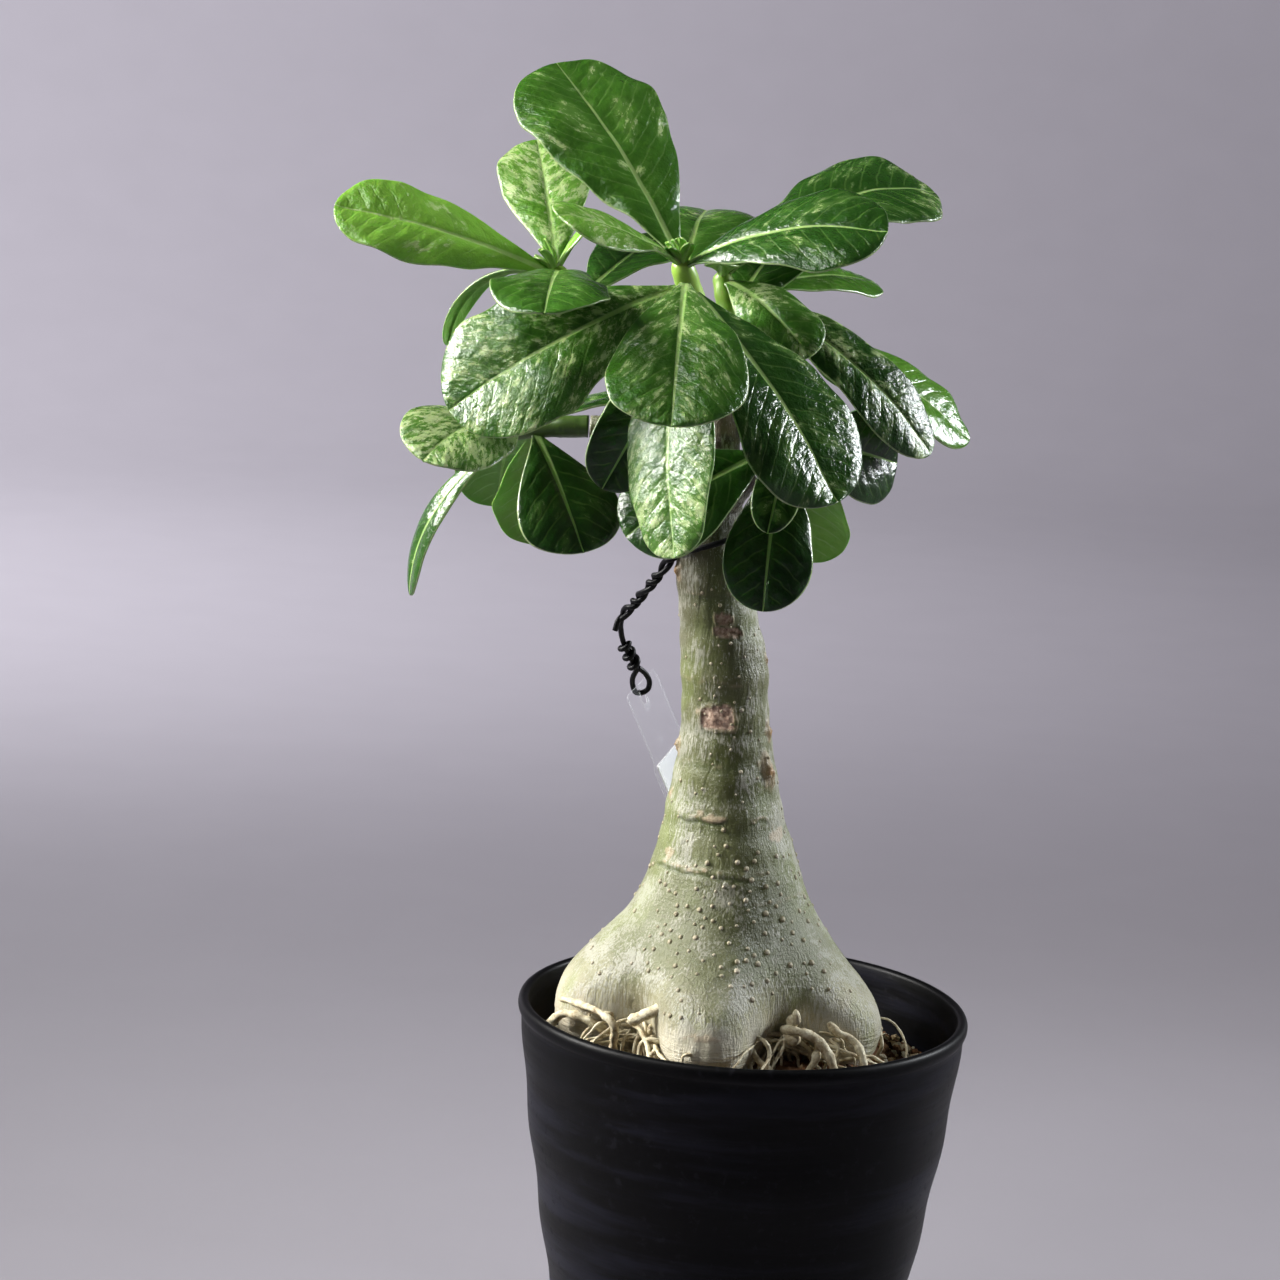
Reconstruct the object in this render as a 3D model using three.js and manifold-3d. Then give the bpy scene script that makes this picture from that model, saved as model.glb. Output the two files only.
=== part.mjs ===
// Potted desert rose: a young caudex plant with variegated leaves in a black nursery pot, with a
// twisted wire round its trunk that carries a clear tag sleeve and a blank card.
// Millimetres, +Z up, front towards -Y. The origin is the middle of the pot's underside.
import * as THREE from 'three';
import { mergeVertices } from 'three/addons/utils/BufferGeometryUtils.js';
import Module from 'manifold-3d';

const wasm = await Module();
wasm.setup();

const GAP = 0.3; // clearance between pieces that touch
const GOLDEN_ANGLE = 137.5;

// Pot
const POT_SIDES = 40;
const POT_FLOOR_TOP = 4.6;
const POT_FOOT_INNER = 35;
// [radius, height] under the floor: the centre pad, the raised channel and the foot
const POT_UNDERSIDE = [[0, 0], [15, 0], [16.2, 2.2], [33.8, 2.2], [POT_FOOT_INNER, 0]];
const POT_RIPPLE = 0.3;
const POT_RIPPLE_PITCH = 26;
const POT_RIPPLE_FROM = 2;
// [height, outer radius] up the wall, which swells a little above its middle
const POT_WALL_LINE = [
  [0, 40.2], [1.5, 41], [15, 43.7], [29, 46.1], [42, 48.3], [54, 50.4], [67, 52.6], [80, 54.7],
  [92, 56.5], [104, 57.9], [115.8, 59],
];
// [radius, height] round the rolled lip, from outside to inside
const POT_LIP = [
  [59.9, 117], [60, 118.5], [59.5, 119.6], [58.6, 120], [57.5, 119.5], [57.1, 118.2],
];
// [height, inner radius]: the wall's straight inner side, from the floor's bevelled corner upwards
const POT_INNER_LINE = [[6.1, 40], [54, 48.6], [103, 55.9]];
const POT_INNER_CORNER = 1.5;
const DRAIN_HOLES = 6;
const DRAIN_HOLE_RADIUS = 4.2;
const DRAIN_RING_RADIUS = 25;
const FOOT_NOTCH = { width: 9, length: 9, height: 1.6, radius: 38 };

// Soil, which rises from the wall to the plant
const SOIL_EDGE = 102.5;
const SOIL_MIDDLE = 111.5;
const SOIL_MIDDLE_RADIUS = 26;
const SOIL_EDGE_RADIUS = 54;
const SOIL_RINGS = 6;
const SOIL_BUMP = 0.6;
const STONES = { count: 34, seed: 11, radius: [27, 52], size: [1.3, 2.6], turn: 3 };

// Caudex and trunk: [height, axis x, axis y, radius at the lobes, radius between the lobes]
const BODY_SIDES = 32;
const BODY_LINE = [
  [58, -4, 0, 12, 8], [76, -5, 0, 24, 12], [92, -6, 0, 33, 15], [101, -6.5, 0, 37.6, 17],
  [107, -6.6, 0, 40.4, 20], [112, -6.6, 0, 42.6, 23], [117.5, -6.8, 0, 44, 26],
  [123, -7.2, 0, 43, 28.6], [128.5, -7.7, 0, 40, 30], [134, -7.8, 0, 35.2, 29.4],
  [139.5, -7.3, 0, 30.2, 27], [145, -6.6, 0, 25.5, 24], [153, -6.6, 0, 21.5, 21],
  [161.5, -6.7, 0, 18.6, 18.4], [168, -7.2, 0, 16.6, 16.6], [175, -7.9, 0, 15, 15],
  [182, -8.2, 0.2, 13.6, 13.6], [191, -8.9, 0.4, 12.1, 12.1], [202, -9.8, 0.6, 11.3, 11.3],
  [213, -10.6, 0.8, 11.2, 11.2], [224.5, -12.4, 1, 10.1, 10.1], [237, -14.6, 1.2, 9.4, 9.4],
  [246, -15.6, 1.6, 8.7, 8.7], [253, -15.6, 2.2, 7.6, 7.6],
];
const HOLE_RINGS = 7; // how many rings of BODY_LINE, from the bottom, the hole in the soil follows
// [direction in degrees, half width in degrees, strength] of the swollen roots round the base
const LOBES = [[194, 27, 1], [266, 24, 0.93], [346, 27, 1.02], [50, 27, 0.95], [122, 27, 0.97]];
const LOBE_STEEPNESS = 2.7; // power that flattens each lobe's front and steepens its flanks
// wiry roots and knobs that come off the base: points, then the radius at each end
const ROOTS = [
  { points: [[-44, -8, 121], [-47.8, -13, 122], [-43, -20, 122.7], [-36.5, -27, 122.5],
    [-33, -29, 120], [-33, -26, 113], [-31, -27, 104]], from: 0.9, to: 1 },
  { points: [[-52, -14, 104], [-51.5, -17.5, 113], [-47, -19.5, 119.5], [-40, -22.5, 119],
    [-34, -21, 115]], from: 1.2, to: 1.2 },
  { points: [[-19, -31, 127], [-24.5, -31.5, 124.5], [-29, -29.5, 121.5]], from: 1.6, to: 1.7 },
  { points: [[12.5, -24, 123], [14.2, -28.8, 124.6], [13.6, -28.6, 127.4]], from: 1.5, to: 1.1 },
  { points: [[12, -24, 119], [14.6, -28.5, 119]], from: 2, to: 2.3 },
  { points: [[10.5, -24, 120.5], [14, -28.4, 121.6], [19, -28.2, 120], [22, -28.5, 117],
    [25, -29, 111], [26, -30, 103]], from: 1.5, to: 1 },
  { points: [[20.5, -26, 119], [19.5, -27.5, 114], [17, -28, 109], [15.5, -28.5, 103]],
    from: 1.1, to: 0.8 },
  { points: [[21.5, -19, 123], [24.5, -22.5, 120.5], [29.5, -23, 118.2], [32, -25, 114],
    [33.5, -27, 104]], from: 1.1, to: 0.9 },
  { points: [[2, -31, 118], [5, -34, 114.5], [9, -32.5, 111], [14, -31, 104]], from: 0.8, to: 0.7 },
];
const ROOT_SIDES = 5;

// Branches: a path, the radius at its ends, and how much of it is woody
const BRANCH_SIDES = 7;
const BRANCHES = {
  front: {
    path: [[-15.5, 1.5, 246], [-14.8, 3, 262], [-15, 3.5, 276], [-18.5, 1, 292], [-23.5, -6, 306],
      [-27.3, -12, 317]],
    woodFrom: 7.4, woodTo: 3.8, wood: 0.6, greenTo: 3,
  },
  right: {
    path: [[-14.9, 3.5, 268], [-13, 9, 283], [-14, 15, 297], [-17.2, 20, 312.5]],
    woodFrom: 4.4, woodTo: 3.4, wood: 0.55, greenTo: 2.6,
  },
  left: {
    path: [[-15.5, 3, 259], [-25, 7, 277], [-38, 11, 291], [-52, 12, 302], [-61.2, 12, 311.6]],
    woodFrom: 4.6, woodTo: 3.4, wood: 0.6, greenTo: 2.6,
  },
  low_left: {
    path: [[-15.5, 2, 250], [-27, 4, 262], [-42, 5, 270.5], [-57, 5, 271], [-70, 5, 268.8]],
    woodFrom: 4.4, woodTo: 3, wood: 0.66, greenTo: 2.4,
  },
  low_right: {
    path: [[-14.5, 0, 250], [-8, -3, 261], [-1, -1.5, 268.5], [5, 1, 273]],
    woodFrom: 4.2, woodTo: 3.4, wood: 0.5, greenTo: 2.6,
  },
  back: {
    path: [[-15, 3, 252], [-18, 15, 265], [-22, 32, 276], [-26, 52, 284]],
    woodFrom: 4.6, woodTo: 3.4, wood: 0.6, greenTo: 2.6,
  },
};

// Leaves: where they leave the shoot (0 to 1 along it), tip, width, then angles in degrees
const LEAF_THICKNESS = 0.8;
const LEAF_ROWS = [0, 0.3, 0.5, 0.66, 0.8, 0.9, 0.97, 1];
const SMALL_LEAF_ROWS = [0, 0.25, 0.5, 0.72, 0.88, 0.97, 1];
const LEAF_COLUMNS = 4;
const SMALL_LEAF_COLUMNS = 2;
const SMALL_LEAF_WIDTH = 15;
const LEAF_BASE_HALF_WIDTH = 1.2;
const LEAF_TIP_HALF_WIDTH = 0.5;
const LEAF_SHAPE = { rise: 1.3, fall: 0.5 }; // powers that make the blade widest near 7/10
const LEAF_FOLD = 0.3;
const LEAF_DROOP = 0.34;
const LEAF_WAVE = { height: 0.07, turns: 7, offset: 1.7, step: 2.4 };
const LEAVES = {
  front: [
    { at: 0.97, tip: [-64, 28, 364], width: 40, bend: 22, roll: -15 },
    { at: 0.97, tip: [24, -32, 328], width: 30, bend: 50, roll: 38 },
    { at: 0.93, tip: [-26, -50, 279], width: 36, bend: 30, roll: 0 },
    { at: 0.9, tip: [-83, -26, 277], width: 37, bend: 42, roll: -52 },
    { at: 0.9, tip: [16, -30, 260], width: 35, bend: 28, roll: 26 },
    { at: 0.99, tip: [-57, -40, 328], width: 22, bend: 25, roll: -24 },
    { at: 0.95, tip: [-22, 40, 327], width: 30, bend: 40, roll: 0 },
    { at: 0.86, tip: [-23.5, -46, 246], width: 30, bend: 40, roll: 34 },
    { at: 0.78, tip: [-44, -15, 258], width: 20, bend: 20, roll: -75 },
  ],
  right: [
    { at: 0.95, tip: [7, -8, 294], width: 20, bend: 50, roll: 30 },
    { at: 0.72, tip: [1, 46, 322], width: 30, bend: 30, roll: 0 },
    { at: 0.9, tip: [40, 8, 269], width: 20, bend: 60, roll: 40 },
    { at: 0.97, tip: [38, 46, 335], width: 32, bend: 74, roll: 30 },
    { at: 0.86, tip: [24, 60, 309], width: 20, bend: 30, roll: 20 },
    { at: 0.8, tip: [22, 42, 284], width: 22, bend: 30, roll: 40 },
    { at: 0.76, tip: [51, 28, 271], width: 24, bend: 40, roll: 30 },
    { at: 0.98, tip: [-17, -1, 316], width: 9, bend: 20, roll: 0 },
  ],
  left: [
    { at: 0.95, tip: [-118, 4, 325], width: 23, bend: 25, roll: -50 },
    { at: 0.97, tip: [-70, 52, 343], width: 25, bend: 20, roll: -8 },
    { at: 0.99, tip: [-52, 14, 325], width: 8, bend: 10, roll: 0 },
    { at: 0.95, tip: [-59, -42, 304], width: 30, bend: 42, roll: 0 },
    { at: 0.84, tip: [-33, 44, 320], width: 26, bend: 25, roll: 0 },
    { at: 0.88, tip: [-90, 32, 288], width: 10, bend: 120, roll: 0 },
  ],
  low_left: [
    { at: 0.96, tip: [-88, -35, 265], width: 28, bend: 66, roll: -18 },
    { at: 0.93, tip: [-95, 12, 223], width: 16, bend: 80, roll: -48 },
    { at: 0.9, tip: [-48, -14, 241], width: 28, bend: 20, roll: 18 },
    { at: 0.9, tip: [-64, 28, 236], width: 22, bend: 25, roll: 0 },
    { at: 0.98, tip: [-76, 48, 243], width: 25, bend: 50, roll: 0 },
  ],
  low_right: [
    { at: 0.86, tip: [-1, -23, 230], width: 23, bend: 30, roll: 0 },
    { at: 0.95, tip: [-1, -28, 251], width: 12, bend: 60, roll: -10 },
    { at: 0.97, tip: [11, 32, 235], width: 24, bend: 25, roll: 0 },
    { at: 0.95, tip: [32, 26, 264], width: 26, bend: 30, roll: 80 },
    { at: 0.76, tip: [-37, -17, 246], width: 28, bend: 45, roll: -47 },
  ],
};
// the back shoot's leaves follow the usual spiral, youngest and steepest at the tip
const BACK_LEAVES = {
  count: 8, seed: 5, firstAzimuth: 38, at: [0.7, 0.98], climb: [-31, 40], length: [52, 30],
  width: [25, 17], bend: [40, 15], scatter: { climb: 12, length: 0.14, roll: 16 },
};

// Wire, tag sleeve and card
const WIRE_RADIUS = 0.75;
const WIRE_SIDES = 5;
const WIRE_RING = { centre: [-15.3, 1.5, 244.2], radius: 10.9, tilt: -20, steps: 28 };
const WIRE_TAIL = [
  [-24.8, -3.1, 240.6], [-29.8, 2.5, 232.6], [-34.2, 9, 225.9], [-38.5, 15, 219.5],
  [-38.6, 17.5, 215.3], [-37.7, 19.5, 211.7], [-35.8, 22, 207.6], [-34.1, 24.2, 204],
];
const WIRE_TWIST = { from: 0, to: 0.61, pitch: 9, radius: 0.82, stepsPerTurn: 6 };
const WIRE_CUT_END = [[-39.4, 13.9, 218.9], [-40.1, 13.6, 216.2]]; // of the second strand
const WIRE_BARE = [0.68, 0.76, 0.84, 0.92, 1]; // places along the tail where one strand runs straight
const WIRE_WRAP = { from: 0.8, to: 0.98, pitch: 3.3, radius: 1.45, stepsPerTurn: 6 };
const WIRE_EYE = [
  [-34.1, 24.2, 204], [-35.1, 26, 201.6], [-35.2, 27.5, 199.4], [-34.2, 28.3, 197],
  [-32.3, 28.2, 197.1], [-30.9, 27.9, 198.3], [-30.7, 27.2, 200.6], [-32, 25.8, 203],
  [-33.8, 24.2, 204.6],
];
const WIRE_EYE_STEPS = 16;
const WIRE_FRAMES = 200; // steps in which the tail's directions are worked out
const SLEEVE = { width: 30, height: 38, depth: 2.2, film: 0.5, tab: 20.5 };
const SLEEVE_SEAM = 1;
const SLEEVE_HOLE = { radius: 2.2, across: 12.6, down: 3.6 };
const SLEEVE_CORNER = [-36.2, 16, 198];
const SLEEVE_DOWN = [0.43, 0, -0.9];
const SLEEVE_ACROSS_X = 0.2; // how far the direction across the sleeve leans to the right

// Materials
const BLACK_PLASTIC = { color: 0x17181b, roughness: 0.42, metalness: 0 };
const SOIL_BROWN = { color: 0x4a3423, roughness: 0.95, metalness: 0 };
const PALE_BARK = { color: 0xa9ac8c, roughness: 0.7, metalness: 0 };
const LEAF_GREEN = { color: 0x2f6a2a, roughness: 0.32, metalness: 0 };
const BLACK_WIRE = { color: 0x0d0d0e, roughness: 0.5, metalness: 0 };
const CLEAR_FILM = { color: 0xdfe6ea, roughness: 0.1, metalness: 0, transparent: true, opacity: 0.3 };
const WHITE_CARD = { color: 0xf2f2ef, roughness: 0.8, metalness: 0 };

const radians = THREE.MathUtils.degToRad;
const vector = (point) => new THREE.Vector3(...point);
const between = ([from, to], share) => from + (to - from) * share;

// Seeded draws from 0 to 1, the same on every run.
function seededRandom(seed) {
  let state = seed;
  return () => {
    state = (state * 1664525 + 1013904223) % 4294967296;
    return state / 4294967296;
  };
}

// Keeps only positions, joins equal corners and drops triangles that have no area.
function weld(geometry) {
  const plain = new THREE.BufferGeometry();
  plain.setAttribute('position', geometry.attributes.position.clone());
  plain.setIndex(geometry.index);
  const merged = mergeVertices(plain, 1e-4);
  const kept = [];
  for (let i = 0; i < merged.index.count; i += 3) {
    const [a, b, c] = [0, 1, 2].map((corner) => merged.index.getX(i + corner));
    if (a !== b && b !== c && c !== a) {
      kept.push(a, b, c);
    }
  }
  merged.setIndex(kept);
  return merged;
}

function toSolid(geometry) {
  const welded = weld(geometry);
  return new wasm.Manifold(new wasm.Mesh({
    numProp: 3,
    vertProperties: new Float32Array(welded.attributes.position.array),
    triVerts: new Uint32Array(welded.index.array),
  }));
}

function toGeometry(solid) {
  const mesh = solid.getMesh();
  const geometry = new THREE.BufferGeometry();
  geometry.setAttribute('position', new THREE.BufferAttribute(mesh.vertProperties, 3));
  geometry.setIndex(new THREE.BufferAttribute(mesh.triVerts, 1));
  geometry.computeVertexNormals();
  return geometry;
}

const joinAll = (solids) => solids.reduce((whole, solid) => whole.add(solid));

function indexedGeometry(points, triangles) {
  const geometry = new THREE.BufferGeometry();
  geometry.setFromPoints(points);
  geometry.setIndex(triangles);
  return geometry;
}

// Joins rings of equal length into a closed skin, with a fan over the first and the last ring.
function ringGeometry(rings) {
  const sides = rings[0].length;
  const points = rings.flat();
  const middle = (ring) => ring.reduce((sum, p) => sum.add(p), new THREE.Vector3())
    .divideScalar(ring.length);
  const first = points.push(middle(rings[0])) - 1;
  const last = points.push(middle(rings.at(-1))) - 1;
  const triangles = [];
  const top = (rings.length - 1) * sides;
  for (let i = 0; i < sides; i += 1) {
    const next = (i + 1) % sides;
    for (let start = 0; start < top; start += sides) {
      const [a, b, c, d] = [start + i, start + next, start + sides + next, start + sides + i];
      triangles.push(a, b, c, a, c, d);
    }
    triangles.push(first, next, i, last, top + i, top + next);
  }
  return indexedGeometry(points, triangles);
}

// A round bar along a curve; radiusAt gives its radius from 0 to 1 along the stretch that is kept.
function barGeometry(curve, radiusAt, sides, steps, from = 0, to = 1) {
  const frames = curve.computeFrenetFrames(steps * 4);
  const rings = [];
  for (let k = 0; k <= steps; k += 1) {
    const along = from + (to - from) * k / steps;
    const frame = Math.round(along * steps * 4);
    const centre = curve.getPointAt(along);
    const ring = [];
    for (let i = 0; i < sides; i += 1) {
      const angle = 2 * Math.PI * i / sides;
      ring.push(centre.clone()
        .addScaledVector(frames.normals[frame], radiusAt(k / steps) * Math.cos(angle))
        .addScaledVector(frames.binormals[frame], radiusAt(k / steps) * Math.sin(angle)));
    }
    rings.push(ring);
  }
  return ringGeometry(rings);
}

// A thin sheet: a grid of rows of { point, normal }, thickened evenly to both sides. Both faces are
// split into triangles alike.
function sheetGeometry(rows, thickness) {
  const columns = rows[0].length;
  const cells = rows.flat();
  const offset = (side) => cells.map(({ point, normal }) => point.clone()
    .addScaledVector(normal, side * thickness / 2));
  const under = cells.length;
  const triangles = [];
  for (let i = 0; i < rows.length - 1; i += 1) {
    for (let j = 0; j < columns - 1; j += 1) {
      const [a, b] = [i * columns + j, i * columns + j + 1];
      const [c, d] = [b + columns, a + columns];
      triangles.push(a, b, c, a, c, d);
      triangles.push(a + under, c + under, b + under, a + under, d + under, c + under);
    }
  }
  const wall = (a, b) => triangles.push(a, b, b + under, a, b + under, a + under);
  const end = (rows.length - 1) * columns;
  for (let i = 0; i < rows.length - 1; i += 1) {
    wall(i * columns, (i + 1) * columns);
    wall((i + 2) * columns - 1, (i + 1) * columns - 1);
  }
  for (let j = 0; j < columns - 1; j += 1) {
    wall(j + 1, j);
    wall(end + j, end + j + 1);
  }
  return indexedGeometry([...offset(1), ...offset(-1)], triangles);
}

// Smooth interpolation down the columns of a table whose first column is the height.
function readLine(table, height) {
  const last = table.length - 2;
  const above = table.findIndex((row) => row[0] > height);
  const k = above < 0 ? last : Math.max(0, above - 1);
  const span = table[k + 1][0] - table[k][0];
  const t = (height - table[k][0]) / span;
  const slope = (row, column) => {
    const [low, high] = [table[Math.max(0, row - 1)], table[Math.min(last + 1, row + 1)]];
    return (high[column] - low[column]) / (high[0] - low[0]);
  };
  return table[k].slice(1).map((value, i) => {
    const column = i + 1;
    const end = table[k + 1][column];
    return value * (1 + 2 * t) * (1 - t) ** 2 + end * t * t * (3 - 2 * t)
      + slope(k, column) * span * t * (1 - t) ** 2 + slope(k + 1, column) * span * t * t * (t - 1);
  });
}

const potRadius = (height) => readLine(POT_WALL_LINE, height)[0]
  + (height > POT_RIPPLE_FROM ? POT_RIPPLE * Math.sin(2 * Math.PI * height / POT_RIPPLE_PITCH) : 0);

function makePot() {
  const profile = [
    ...POT_UNDERSIDE,
    ...POT_WALL_LINE.map(([height]) => [potRadius(height), height]),
    ...POT_LIP,
    ...POT_INNER_LINE.map(([height, radius]) => [radius, height]).reverse(),
    [POT_INNER_LINE[0][1] - POT_INNER_CORNER, POT_FLOOR_TOP], [0, POT_FLOOR_TOP],
  ].map(([radius, height]) => new THREE.Vector2(radius, height));
  let pot = toSolid(new THREE.LatheGeometry(profile, POT_SIDES).rotateX(Math.PI / 2));
  for (let i = 0; i < DRAIN_HOLES; i += 1) {
    const angle = 2 * Math.PI * i / DRAIN_HOLES;
    const hole = new THREE.CylinderGeometry(DRAIN_HOLE_RADIUS, DRAIN_HOLE_RADIUS, 20, 12)
      .rotateX(Math.PI / 2).translate(DRAIN_RING_RADIUS, 0, 0).rotateZ(angle);
    const notch = new THREE.BoxGeometry(FOOT_NOTCH.length, FOOT_NOTCH.width, 2 * FOOT_NOTCH.height)
      .translate(FOOT_NOTCH.radius, 0, 0).rotateZ(angle + Math.PI / DRAIN_HOLES);
    pot = pot.subtract(toSolid(hole)).subtract(toSolid(notch));
  }
  return toGeometry(pot);
}

// The body's radius in one direction: the swollen lobes stand out of a rounder core.
function bodyRadius(angle, height) {
  const [, , lobe, core] = readLine(BODY_LINE, height);
  const rise = LOBES.reduce((sum, [at, width, strength]) => {
    const away = ((THREE.MathUtils.radToDeg(angle) - at + 540) % 360) - 180;
    return sum + strength * Math.exp(-((Math.abs(away) / width) ** LOBE_STEEPNESS));
  }, 0);
  return core + (lobe - core) * rise;
}

function bodyRing(height, grow = 0, drop = 0) {
  const [x, y] = readLine(BODY_LINE, height);
  return Array.from({ length: BODY_SIDES }, (_, i) => {
    const angle = 2 * Math.PI * i / BODY_SIDES;
    const radius = bodyRadius(angle, height) + grow;
    return new THREE.Vector3(x + radius * Math.cos(angle), y + radius * Math.sin(angle), height - drop);
  });
}

// The roots as bars, or with grow the room they need, which also reaches past both their ends.
function rootSolids(grow) {
  return ROOTS.map(({ points, from, to }) => {
    const path = points.map(vector);
    const pastEnd = (end, before) => end.clone().add(end.clone().sub(before).setLength(grow));
    if (grow > 0) {
      path.unshift(pastEnd(path[0], path[1]));
      path.push(pastEnd(path.at(-1), path.at(-2)));
    }
    const curve = new THREE.CatmullRomCurve3(path);
    const radiusAt = (t) => between([from, to], t) + grow;
    return toSolid(barGeometry(curve, radiusAt, ROOT_SIDES, 2 * points.length - 2));
  });
}

const branchCurve = ({ path }) => new THREE.CatmullRomCurve3(path.map(vector));

function makePlantBody() {
  const trunk = toSolid(ringGeometry(BODY_LINE.map(([height]) => bodyRing(height))));
  const wood = Object.values(BRANCHES).map((branch) => {
    const radiusAt = (t) => between([branch.woodFrom, branch.woodTo], Math.sqrt(t));
    return toSolid(barGeometry(branchCurve(branch), radiusAt, BRANCH_SIDES, 5, 0, branch.wood));
  });
  return toGeometry(joinAll([trunk, ...wood, ...rootSolids(0)]));
}

const soilHeight = (radius) => SOIL_EDGE + (SOIL_MIDDLE - SOIL_EDGE)
  * (1 - THREE.MathUtils.smoothstep(radius, SOIL_MIDDLE_RADIUS, SOIL_EDGE_RADIUS));

function makeSoil() {
  const clear = GAP + 0.1;
  const bottom = POT_FLOOR_TOP + GAP;
  const [[cornerHeight, cornerRadius], [middleHeight, middleRadius], [highHeight, highRadius]]
    = POT_INNER_LINE;
  const edgeRadius = highRadius - clear - 0.1;
  const random = seededRandom(STONES.seed);
  const circle = (radius, height) => Array.from({ length: POT_SIDES }, (_, i) => {
    const angle = 2 * Math.PI * i / POT_SIDES;
    return new THREE.Vector3(radius * Math.cos(angle), radius * Math.sin(angle), height());
  });
  const rings = [
    circle(cornerRadius - POT_INNER_CORNER - clear, () => bottom),
    circle(cornerRadius - clear, () => cornerHeight + GAP),
    circle(middleRadius - clear, () => middleHeight),
    circle(edgeRadius, () => highHeight - 2),
  ];
  for (let k = SOIL_RINGS; k > 0; k -= 1) {
    const radius = (edgeRadius - 0.6) * k / SOIL_RINGS;
    rings.push(circle(radius, () => soilHeight(radius) + SOIL_BUMP * (2 * random() - 1)));
  }
  const stones = [];
  for (let i = 0; i < STONES.count; i += 1) {
    const angle = radians(i * GOLDEN_ANGLE);
    const radius = between(STONES.radius, Math.sqrt(random()));
    stones.push(toSolid(new THREE.OctahedronGeometry(between(STONES.size, random()))
      .rotateX(random() * STONES.turn).rotateY(random() * STONES.turn)
      .translate(radius * Math.cos(angle), radius * Math.sin(angle), soilHeight(radius))));
  }
  const hole = ringGeometry(BODY_LINE.slice(0, HOLE_RINGS)
    .map(([height], k) => bodyRing(height, clear, k === 0 ? GAP : 0)));
  const pieces = joinAll([toSolid(ringGeometry(rings)), ...stones])
    .subtract(joinAll([toSolid(hole), ...rootSolids(clear)])).decompose();
  return toGeometry(pieces.sort((a, b) => b.volume() - a.volume())[0]); // without loose crumbs
}

// The blade's half width from its base (0) to its tip (1), as a share of the widest.
function bladeShare(t) {
  const { rise, fall } = LEAF_SHAPE;
  const widest = rise / (rise + fall);
  return (t / widest) ** rise * ((1 - t) / (1 - widest)) ** fall;
}

// A leaf from its base to its tip. Its midrib is an arc; the blade folds up from the midrib and
// curls down again at its wavy edges. roll turns it about its length, twist turns its end further.
function leafGeometry(base, { tip, width, bend, roll, twist = 0, wave = 0 }) {
  const chord = tip.clone().sub(base);
  const length = chord.length();
  const ahead = chord.clone().normalize();
  const up = new THREE.Vector3(0, 0, 1);
  const upper = up.addScaledVector(ahead, -up.dot(ahead)).normalize()
    .applyAxisAngle(ahead, radians(roll));
  const side = new THREE.Vector3().crossVectors(ahead, upper);
  const turn = radians(bend);
  const arcRadius = length / (2 * Math.sin(turn / 2));
  const small = width < SMALL_LEAF_WIDTH;
  const columns = small ? SMALL_LEAF_COLUMNS : LEAF_COLUMNS;
  const rows = (small ? SMALL_LEAF_ROWS : LEAF_ROWS).map((t) => {
    const slope = turn * (t - 0.5);
    const centre = base.clone()
      .addScaledVector(ahead, length / 2 + arcRadius * Math.sin(slope))
      .addScaledVector(upper, arcRadius * (Math.cos(slope) - Math.cos(turn / 2)));
    const along = ahead.clone().multiplyScalar(Math.cos(slope))
      .addScaledVector(upper, -Math.sin(slope));
    const normal = upper.clone().multiplyScalar(Math.cos(slope))
      .addScaledVector(ahead, Math.sin(slope)).applyAxisAngle(along, radians(twist * t));
    const across = side.clone().applyAxisAngle(along, radians(twist * t));
    const least = LEAF_BASE_HALF_WIDTH + (LEAF_TIP_HALF_WIDTH - LEAF_BASE_HALF_WIDTH) * t;
    const half = Math.max(least, width / 2 * bladeShare(t));
    return Array.from({ length: columns + 1 }, (_, j) => {
      const u = 2 * j / columns - 1;
      const phase = LEAF_WAVE.turns * t + wave + (u > 0 ? LEAF_WAVE.offset : 0);
      const ripple = LEAF_WAVE.height * Math.sin(phase);
      const lift = half * (LEAF_FOLD * Math.abs(u) + (ripple - LEAF_DROOP) * u * u);
      const point = centre.clone().addScaledVector(across, half * u).addScaledVector(normal, lift);
      return { point, normal };
    });
  });
  return sheetGeometry(rows, LEAF_THICKNESS);
}

// The back shoot's leaves as rows like those of LEAVES, from the spiral rule.
function spiralLeaves(curve, rule) {
  const random = seededRandom(rule.seed);
  const scatter = (amount) => amount * (random() - 0.5);
  return Array.from({ length: rule.count }, (_, k) => {
    const t = k / (rule.count - 1);
    const azimuth = radians(rule.firstAzimuth + k * GOLDEN_ANGLE);
    const climb = radians(between(rule.climb, t) + scatter(rule.scatter.climb));
    const length = between(rule.length, t) * (1 + scatter(rule.scatter.length));
    const at = between(rule.at, t);
    const tip = curve.getPointAt(at).add(new THREE.Vector3(
      length * Math.cos(azimuth) * Math.cos(climb),
      length * Math.sin(azimuth) * Math.cos(climb),
      length * Math.sin(climb),
    ));
    return {
      at,
      tip: tip.toArray(),
      width: between(rule.width, t),
      bend: between(rule.bend, t),
      roll: scatter(rule.scatter.roll),
    };
  });
}

function shootLeaves(name) {
  const curve = branchCurve(BRANCHES[name]);
  const rows = name === 'back' ? spiralLeaves(curve, BACK_LEAVES) : LEAVES[name];
  return rows.map((leaf, k) => toSolid(leafGeometry(curve.getPointAt(leaf.at),
    { ...leaf, tip: vector(leaf.tip), wave: LEAF_WAVE.step * k })));
}

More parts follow.
